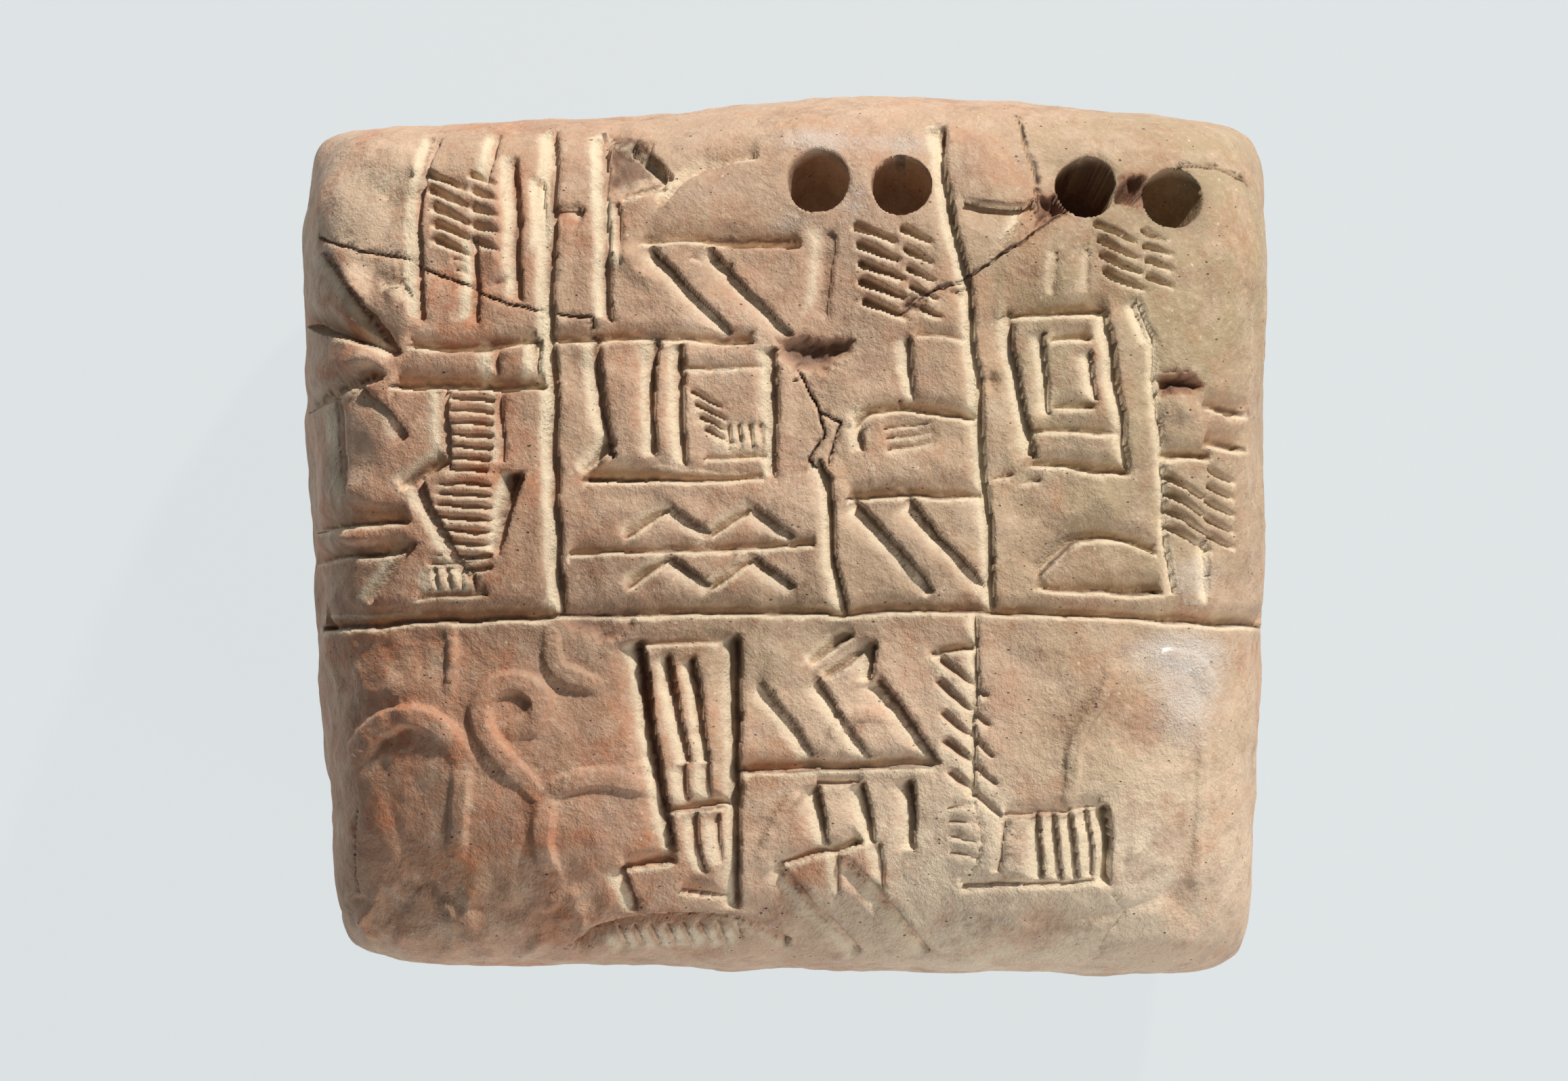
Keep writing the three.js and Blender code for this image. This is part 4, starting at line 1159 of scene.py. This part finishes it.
@dataclass(frozen=True)
class PaleFloor:
    """A plain pale sheet that glows a little, as a lit table does."""

    colour: Colour = srgb(222, 227, 229)
    glow: float = 0.96

    def dress(self) -> bpy.types.Material:
        """Builds the material."""
        d = Dresser("pale sheet")
        s = d.shader.inputs
        s["Base Color"].default_value = (*(c * 0.05 for c in self.colour), 1.0)
        s["Roughness"].default_value = 0.9
        s["Specular IOR Level"].default_value = 0.0
        s["Emission Color"].default_value = (*self.colour, 1.0)
        s["Emission Strength"].default_value = self.glow
        return d.material


# ---------------------------------------------------------------- the tablet


def mesh_of(name: str, points: np.ndarray, faces: np.ndarray) -> bpy.types.Mesh:
    """A smooth triangle mesh from points in millimetres."""
    mesh = bpy.data.meshes.new(name)
    mesh.vertices.add(len(points))
    mesh.vertices.foreach_set("co", (points * MM).astype(np.float32).ravel())
    mesh.loops.add(faces.size)
    mesh.loops.foreach_set("vertex_index", faces.astype(np.int32).ravel())
    mesh.polygons.add(len(faces))
    mesh.polygons.foreach_set("loop_start", np.arange(0, faces.size, 3, dtype=np.int32))
    mesh.polygons.foreach_set("use_smooth", np.ones(len(faces), dtype=bool))
    mesh.update(calc_edges=True)
    mesh.validate()
    return mesh


def link(name: str, data: bpy.types.ID) -> bpy.types.Object:
    """An object for that data in the scene."""
    obj = bpy.data.objects.new(name, data)
    bpy.context.scene.collection.objects.link(obj)
    return obj


@dataclass
class Tablet:
    """The solid of clay: the cushion, its marks, and its skin."""

    body: Cushion = field(default_factory=Cushion)
    face_lines: int = 721
    back_step: int = 6
    triangles: int = 194000
    warm_zones: tuple[Stain, ...] = (
        Stain((-27, 0), (9, 24), 0.8),
        Stain((-14, -18), (12, 9), 0.75),
        Stain((4, -21), (7, 6), 0.5),
        Stain((-16, 18), (7, 8), 0.6),
        Stain((-17, -1), (5, 9), 0.7),
        Stain((-6, -10), (6, 6), 0.4),
    )
    olive_zones: tuple[Stain, ...] = (
        Stain((24, 18), (10, 10), 1.0),
        Stain((18, 5), (10, 10), 0.85),
        Stain((-2, -6), (6, 3), 0.75),
        Stain((14, -18), (6, 5), 0.5),
        Stain((24, -10), (8, 16), 0.25),
    )
    # Partly paler clay and partly painted light, mostly at the foot's right and on the left margin.
    pale_and_painted_light_zones: tuple[Stain, ...] = (
        Stain((17, -22), (12, 5), 0.75),
        Stain((24, -14), (5, 9), 0.5),
        Stain((-25, 20), (5, 6), 0.5),
        Stain((-27.5, 8), (3, 12), 0.35),
        Stain((4, -11), (7, 7), 0.35),
        Stain((12, -21), (9, 6), 1.0),
        Stain((-3, -21), (8, 5), 0.2),
        Stain((3, 2), (4, 4), 0.2),
        Stain((17, 9), (3, 4), 0.25),
    )
    # Partly darker clay and partly painted shade, mostly along the right side, the top and the level
    # rule.
    dull_and_painted_shade_zones: tuple[Stain, ...] = (
        Stain((-6, -3.5), (20, 4.0), 0.8),
        Stain((-13, -10), (6, 7), 0.6),
        Stain((-14, 3), (4, 6), 0.3),
        Stain((22, 20), (8, 6), 0.6),
        Stain((-8, 21), (16, 5), 0.35),
        Stain((25, 8), (6, 7), 0.5),
        Stain((26, -2), (6, 5), 0.4),
        Stain((12, 16), (10, 8), 0.3),
        Stain((3, 18), (9, 6), 0.3),
        Stain((-14, 16), (6, 8), 0.3),
    )
    # Patches with a real glossy coat whose colour also carries a painted sheen.
    gloss_and_painted_sheen_zones: tuple[Stain, ...] = (
        Stain((24.5, -9.5), (2.4, 3.4), 0.9),
        Stain((23.5, -7), (3.5, 1.2), 0.7),
        Stain((2, 24), (3, 1.0), 0.7),
        Stain((7.5, 23.8), (2.4, 0.9), 0.6),
        Stain((25, -2.5), (2.0, 1.6), 0.6),
        Stain((0.5, 19), (1.5, 1.0), 0.5),
        Stain((4.2, 20.4), (1.4, 1.8), 0.5),
        Stain((-4, 10), (3, 1.5), 0.35),
    )

    def plain_shell(self) -> tuple[np.ndarray, np.ndarray, int]:
        """The cushion as one closed mesh, fine above the waist and coarse below.

        Returns:
            Points, triangles, and how many of the points belong to the fine half.
        """
        fine = self.face_lines
        coarse = (fine - 1) // self.back_step + 1
        front = self.body.half_shell(fine, 1)
        back = self.body.half_shell(coarse, -1)
        rim, rim_back = rim_of(fine), rim_of(coarse) + len(front)
        back_faces = grid_faces(coarse, True) + len(front)
        back[rim_of(coarse)] = front[rim[:: self.back_step]]
        keep = np.arange(len(front) + len(back))
        keep[rim_back] = rim[:: self.back_step]
        back_faces = keep[back_faces]
        gap = stitch(rim, rim[:: self.back_step])
        gap = gap[(gap[:, 0] != gap[:, 1]) & (gap[:, 1] != gap[:, 2]) & (gap[:, 0] != gap[:, 2])]
        return np.vstack([front, back]), np.vstack(
            [grid_faces(fine, False), back_faces, gap]
        ), len(front)

    def carve(self, points: np.ndarray, fine: int, face: WrittenFace) -> np.ndarray:
        """Presses the face's marks into the fine half and works the clay all over.

        Args:
            points: The plain shell.
            fine: How many of its points belong to the written half.
            face: The marks.

        Returns:
            The worked points.
        """
        worked = points.copy()
        front = points[:fine]
        marks = face.marks(front)
        on_face = smoothstep(*FACE_LEVELS, front[:, 2])
        lip = marks.lip * (1.0 - smoothstep(0.0, 0.08, marks.cut))
        rise = (marks.raised + lip - np.maximum(marks.cut, marks.bank)) * on_face
        worked[:fine] += self._normals(front) * rise[:, None]
        swell = 0.24 * fractal_noise(points, 8.0, 41, 2) + 0.2 * fractal_noise(points, 3.2, 42, 3)
        swell += 0.3 * smoothstep(24.0, 29.0, -points[:, 0]) * value_noise(points, 3.6, 43)
        middle = np.array([0.0, 0.0, self.body.waist_z])
        away = points - middle
        away /= np.linalg.norm(away, axis=1)[:, None]
        grounded = smoothstep(0.0, 3.0, points[:, 2])
        worked += away * ((swell - 0.12) * grounded)[:, None]
        for pit in face.pits:
            self._sink(worked, front, fine, pit)
        return worked

    def _normals(self, front: np.ndarray) -> np.ndarray:
        """Outward unit normals of the fine half's grid, from the run of its rows and columns."""
        grid = front.reshape(self.face_lines, self.face_lines, 3)
        normal = np.cross(np.gradient(grid, axis=1), np.gradient(grid, axis=0)).reshape(-1, 3)
        return normal / np.linalg.norm(normal, axis=1)[:, None]

    def _sink(self, worked: np.ndarray, front: np.ndarray, fine: int, pit: Pit) -> None:
        """Drives one pit along the face's inward normal.

        Points inside the pit's rim are shared out between its wall and its floor by how far
        they lie from its middle: the outer third becomes the wall, the rest the floor.
        """
        dx, dy = front[:, 0] - pit.at[0], front[:, 1] - pit.at[1]
        q = np.hypot(dx, dy) / pit.radius
        inside = np.flatnonzero((q < 1.06) & (front[:, 2] > 25))
        q, dx, dy = q[inside], dx[inside], dy[inside]
        ring = np.flatnonzero((q > 0.9))
        normal = self._normal_at(front[inside])
        share = np.clip((1.02 - q) / 0.5, 0.0, 1.0)
        radius = pit.radius * np.where(q > 0.52, 1.0 - 0.16 * share, q / 0.52 * 0.84)
        sweep = np.arctan2(dy, dx)
        rough = 1.0 + 0.02 * np.sin(3 * sweep + pit.at[0]) + 0.015 * np.sin(5 * sweep)
        plane = front[inside][ring]
        fit = np.linalg.lstsq(
            np.column_stack([plane[:, :2], np.ones(len(plane))]), plane[:, 2], rcond=None,
        )[0]
        x = pit.at[0] + radius * rough * np.cos(sweep)
        y = pit.at[1] + radius * rough * np.sin(sweep)
        z = fit[0] * x + fit[1] * y + fit[2]
        floor = 0.25 * (1.0 - np.clip(q / 0.52, 0, 1) ** 2)
        deep = (pit.depth * share + floor)[:, None]
        target = np.column_stack([x, y, z]) - normal * deep
        hold = (1.0 - smoothstep(0.98, 1.06, q))[:, None]
        worked[inside] = worked[inside] * (1 - hold) + target * hold

    @staticmethod
    def _normal_at(patch: np.ndarray) -> np.ndarray:
        """The mean outward normal of a small patch, from the plane that fits it best."""
        slope = np.linalg.lstsq(
            np.column_stack([patch[:, :2], np.ones(len(patch))]), patch[:, 2], rcond=None,
        )[0]
        normal = np.array([-slope[0], -slope[1], 1.0])
        return normal / np.linalg.norm(normal)

    def build(self, face: WrittenFace) -> bpy.types.Object:
        """Makes the finished piece.

        Args:
            face: The marks on its upper side.

        Returns:
            The tablet's object, carved, thinned and dressed.
        """
        points, faces, fine = self.plain_shell()
        low, high = (np.array(c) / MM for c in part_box("tablet"))
        points = self._fit(points, low, high)
        LOG.info("plain shell: %d points, %d triangles", len(points), len(faces))
        worked = self.carve(points, fine, face)
        worked = self._fit(worked, low, high)
        rough = link("tablet_rough", mesh_of("tablet_rough", worked, faces))
        thin = rough.modifiers.new("thin", "DECIMATE")
        thin.ratio = min(1.0, self.triangles / len(faces))
        graph = bpy.context.evaluated_depsgraph_get()
        mesh = bpy.data.meshes.new_from_object(rough.evaluated_get(graph))
        mesh.name = "tablet_clay"
        bpy.data.objects.remove(rough)
        tablet = link("tablet_clay", mesh)
        self._zones(mesh, face)
        mesh.materials.clear()
        mesh.materials.append(Clay().dress())
        LOG.info("tablet: %d triangles", len(mesh.polygons))
        return tablet

    @staticmethod
    def _fit(points: np.ndarray, low: np.ndarray, high: np.ndarray) -> np.ndarray:
        """Moves and sizes points to fill the box."""
        at, to = points.min(axis=0), points.max(axis=0)
        return low + (points - at) * (high - low) / (to - at)

    def _zones(self, mesh: bpy.types.Mesh, face: WrittenFace) -> None:
        """Stores each point's tints and marks for the shader, among them painted shade and painted
        light.
        """
        flat = np.empty(len(mesh.vertices) * 3, dtype=np.float32)
        mesh.vertices.foreach_get("co", flat)
        place = flat.reshape(-1, 3).astype(float) / MM
        marks = face.marks(place)
        on_face = smoothstep(*FACE_LEVELS, place[:, 2])
        x, y = place[:, 0], place[:, 1]
        # Painted shade in the pits: below the face level, centred a little towards the foot, scaled by
        # each pit's dark.
        pit = np.zeros(len(place))
        for hole in face.pits:
            away = np.hypot(x - hole.at[0], y - hole.at[1] + 0.5) / hole.radius
            sunk = 1.0 - smoothstep(36.5, 38.5, place[:, 2])
            pit = np.maximum(pit, (1.0 - smoothstep(0.9, 1.4, away)) * sunk * hole.dark)
        values = {
            "groove": np.clip(marks.cut / 0.9, 0, 1) * on_face,
            "pit": pit,
            # Painted highlights along the stroke rims that face the light.
            "edge": marks.edge * on_face,
            "crust": marks.crust * on_face,
            "chip": marks.chip * on_face,
            "crack": np.clip(marks.crack / 0.4, 0, 1) * on_face,
            "warm": stains_at(x, y, self.warm_zones),
            "olive": stains_at(x, y, self.olive_zones),
            # The pale and darker zones hold painted light and shade in part, and the glossy patches a
            # painted sheen.
            "pale": stains_at(x, y, self.pale_and_painted_light_zones),
            "dull_and_painted_shade": stains_at(x, y, self.dull_and_painted_shade_zones),
            "gloss_and_painted_sheen": stains_at(x, y, self.gloss_and_painted_sheen_zones) * on_face,
        }
        for name, numbers in values.items():
            layer = mesh.attributes.new(name, "FLOAT", "POINT")
            layer.data.foreach_set("value", numbers.astype(np.float32))


# ---------------------------------------------------------------- the studio


@dataclass
class Studio:
    """A pale sheet, soft lights and a camera that looks straight down."""

    aim: tuple[float, float] = (0.02, -0.30)
    level: float = 20.0
    distance: float = 600.0
    field_width: float = 98.17

    def floor(self) -> bpy.types.Object:
        """The sheet that the tablet lies on."""
        size = 1200.0
        points = np.array(
            [(-size, -size, 0), (size, -size, 0), (size, size, 0), (-size, size, 0)], float,
        )
        sheet = link("sheet", mesh_of("sheet", points, np.array([[0, 1, 2], [0, 2, 3]])))
        sheet.data.materials.append(PaleFloor().dress())
        return sheet

    def camera(self) -> bpy.types.Object:
        """A long lens straight above, framed on the tablet's outline."""
        lens = bpy.data.cameras.new("camera")
        lens.sensor_width = 36.0
        lens.lens = 36.0 * self.distance / self.field_width
        lens.clip_start, lens.clip_end = 0.05, 20.0
        camera = link("camera", lens)
        camera.location = (self.aim[0] * MM, self.aim[1] * MM, (self.level + self.distance) * MM)
        bpy.context.scene.camera = camera
        return camera

    def light(
        self, name: str, at: Sequence[float], size: float, power: float, colour: Colour = (1, 1, 1),
    ) -> None:
        """A square soft light that faces the tablet."""
        lamp = bpy.data.lights.new(name, "AREA")
        lamp.size, lamp.energy, lamp.color = size, power, colour
        obj = link(name, lamp)
        obj.location = at
        obj.rotation_euler = (Vector((0, 0, 0.03)) - Vector(at)).to_track_quat("-Z", "Y").to_euler()

    def lights(self) -> None:
        """A low key from the top edge, a faint fill from the lower right, and a pale sky."""
        self.light("key", (0.36, 0.78, 0.54), 0.05, 12.2, (1.0, 0.97, 0.93))
        self.light("fill", (0.42, -0.5, 0.34), 0.3, 2.4, (1.0, 0.98, 0.96))
        world = bpy.data.worlds.new("sky")
        world.use_nodes = True
        world.node_tree.nodes["Background"].inputs["Color"].default_value = (0.9, 0.95, 1.0, 1.0)
        world.node_tree.nodes["Background"].inputs["Strength"].default_value = 0.12
        bpy.context.scene.world = world
        bpy.context.scene.view_settings.view_transform = "Standard"


def main() -> None:
    """Builds the tablet, whose build logs its counts, and the studio."""
    logging.basicConfig(level=logging.INFO, format="%(message)s")
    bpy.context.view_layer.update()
    tablet = Tablet().build(WrittenFace())
    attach(tablet, "root")
    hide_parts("tablet")
    studio = Studio()
    studio.floor()
    studio.camera()
    studio.lights()


if __name__ == "__main__":
    main()
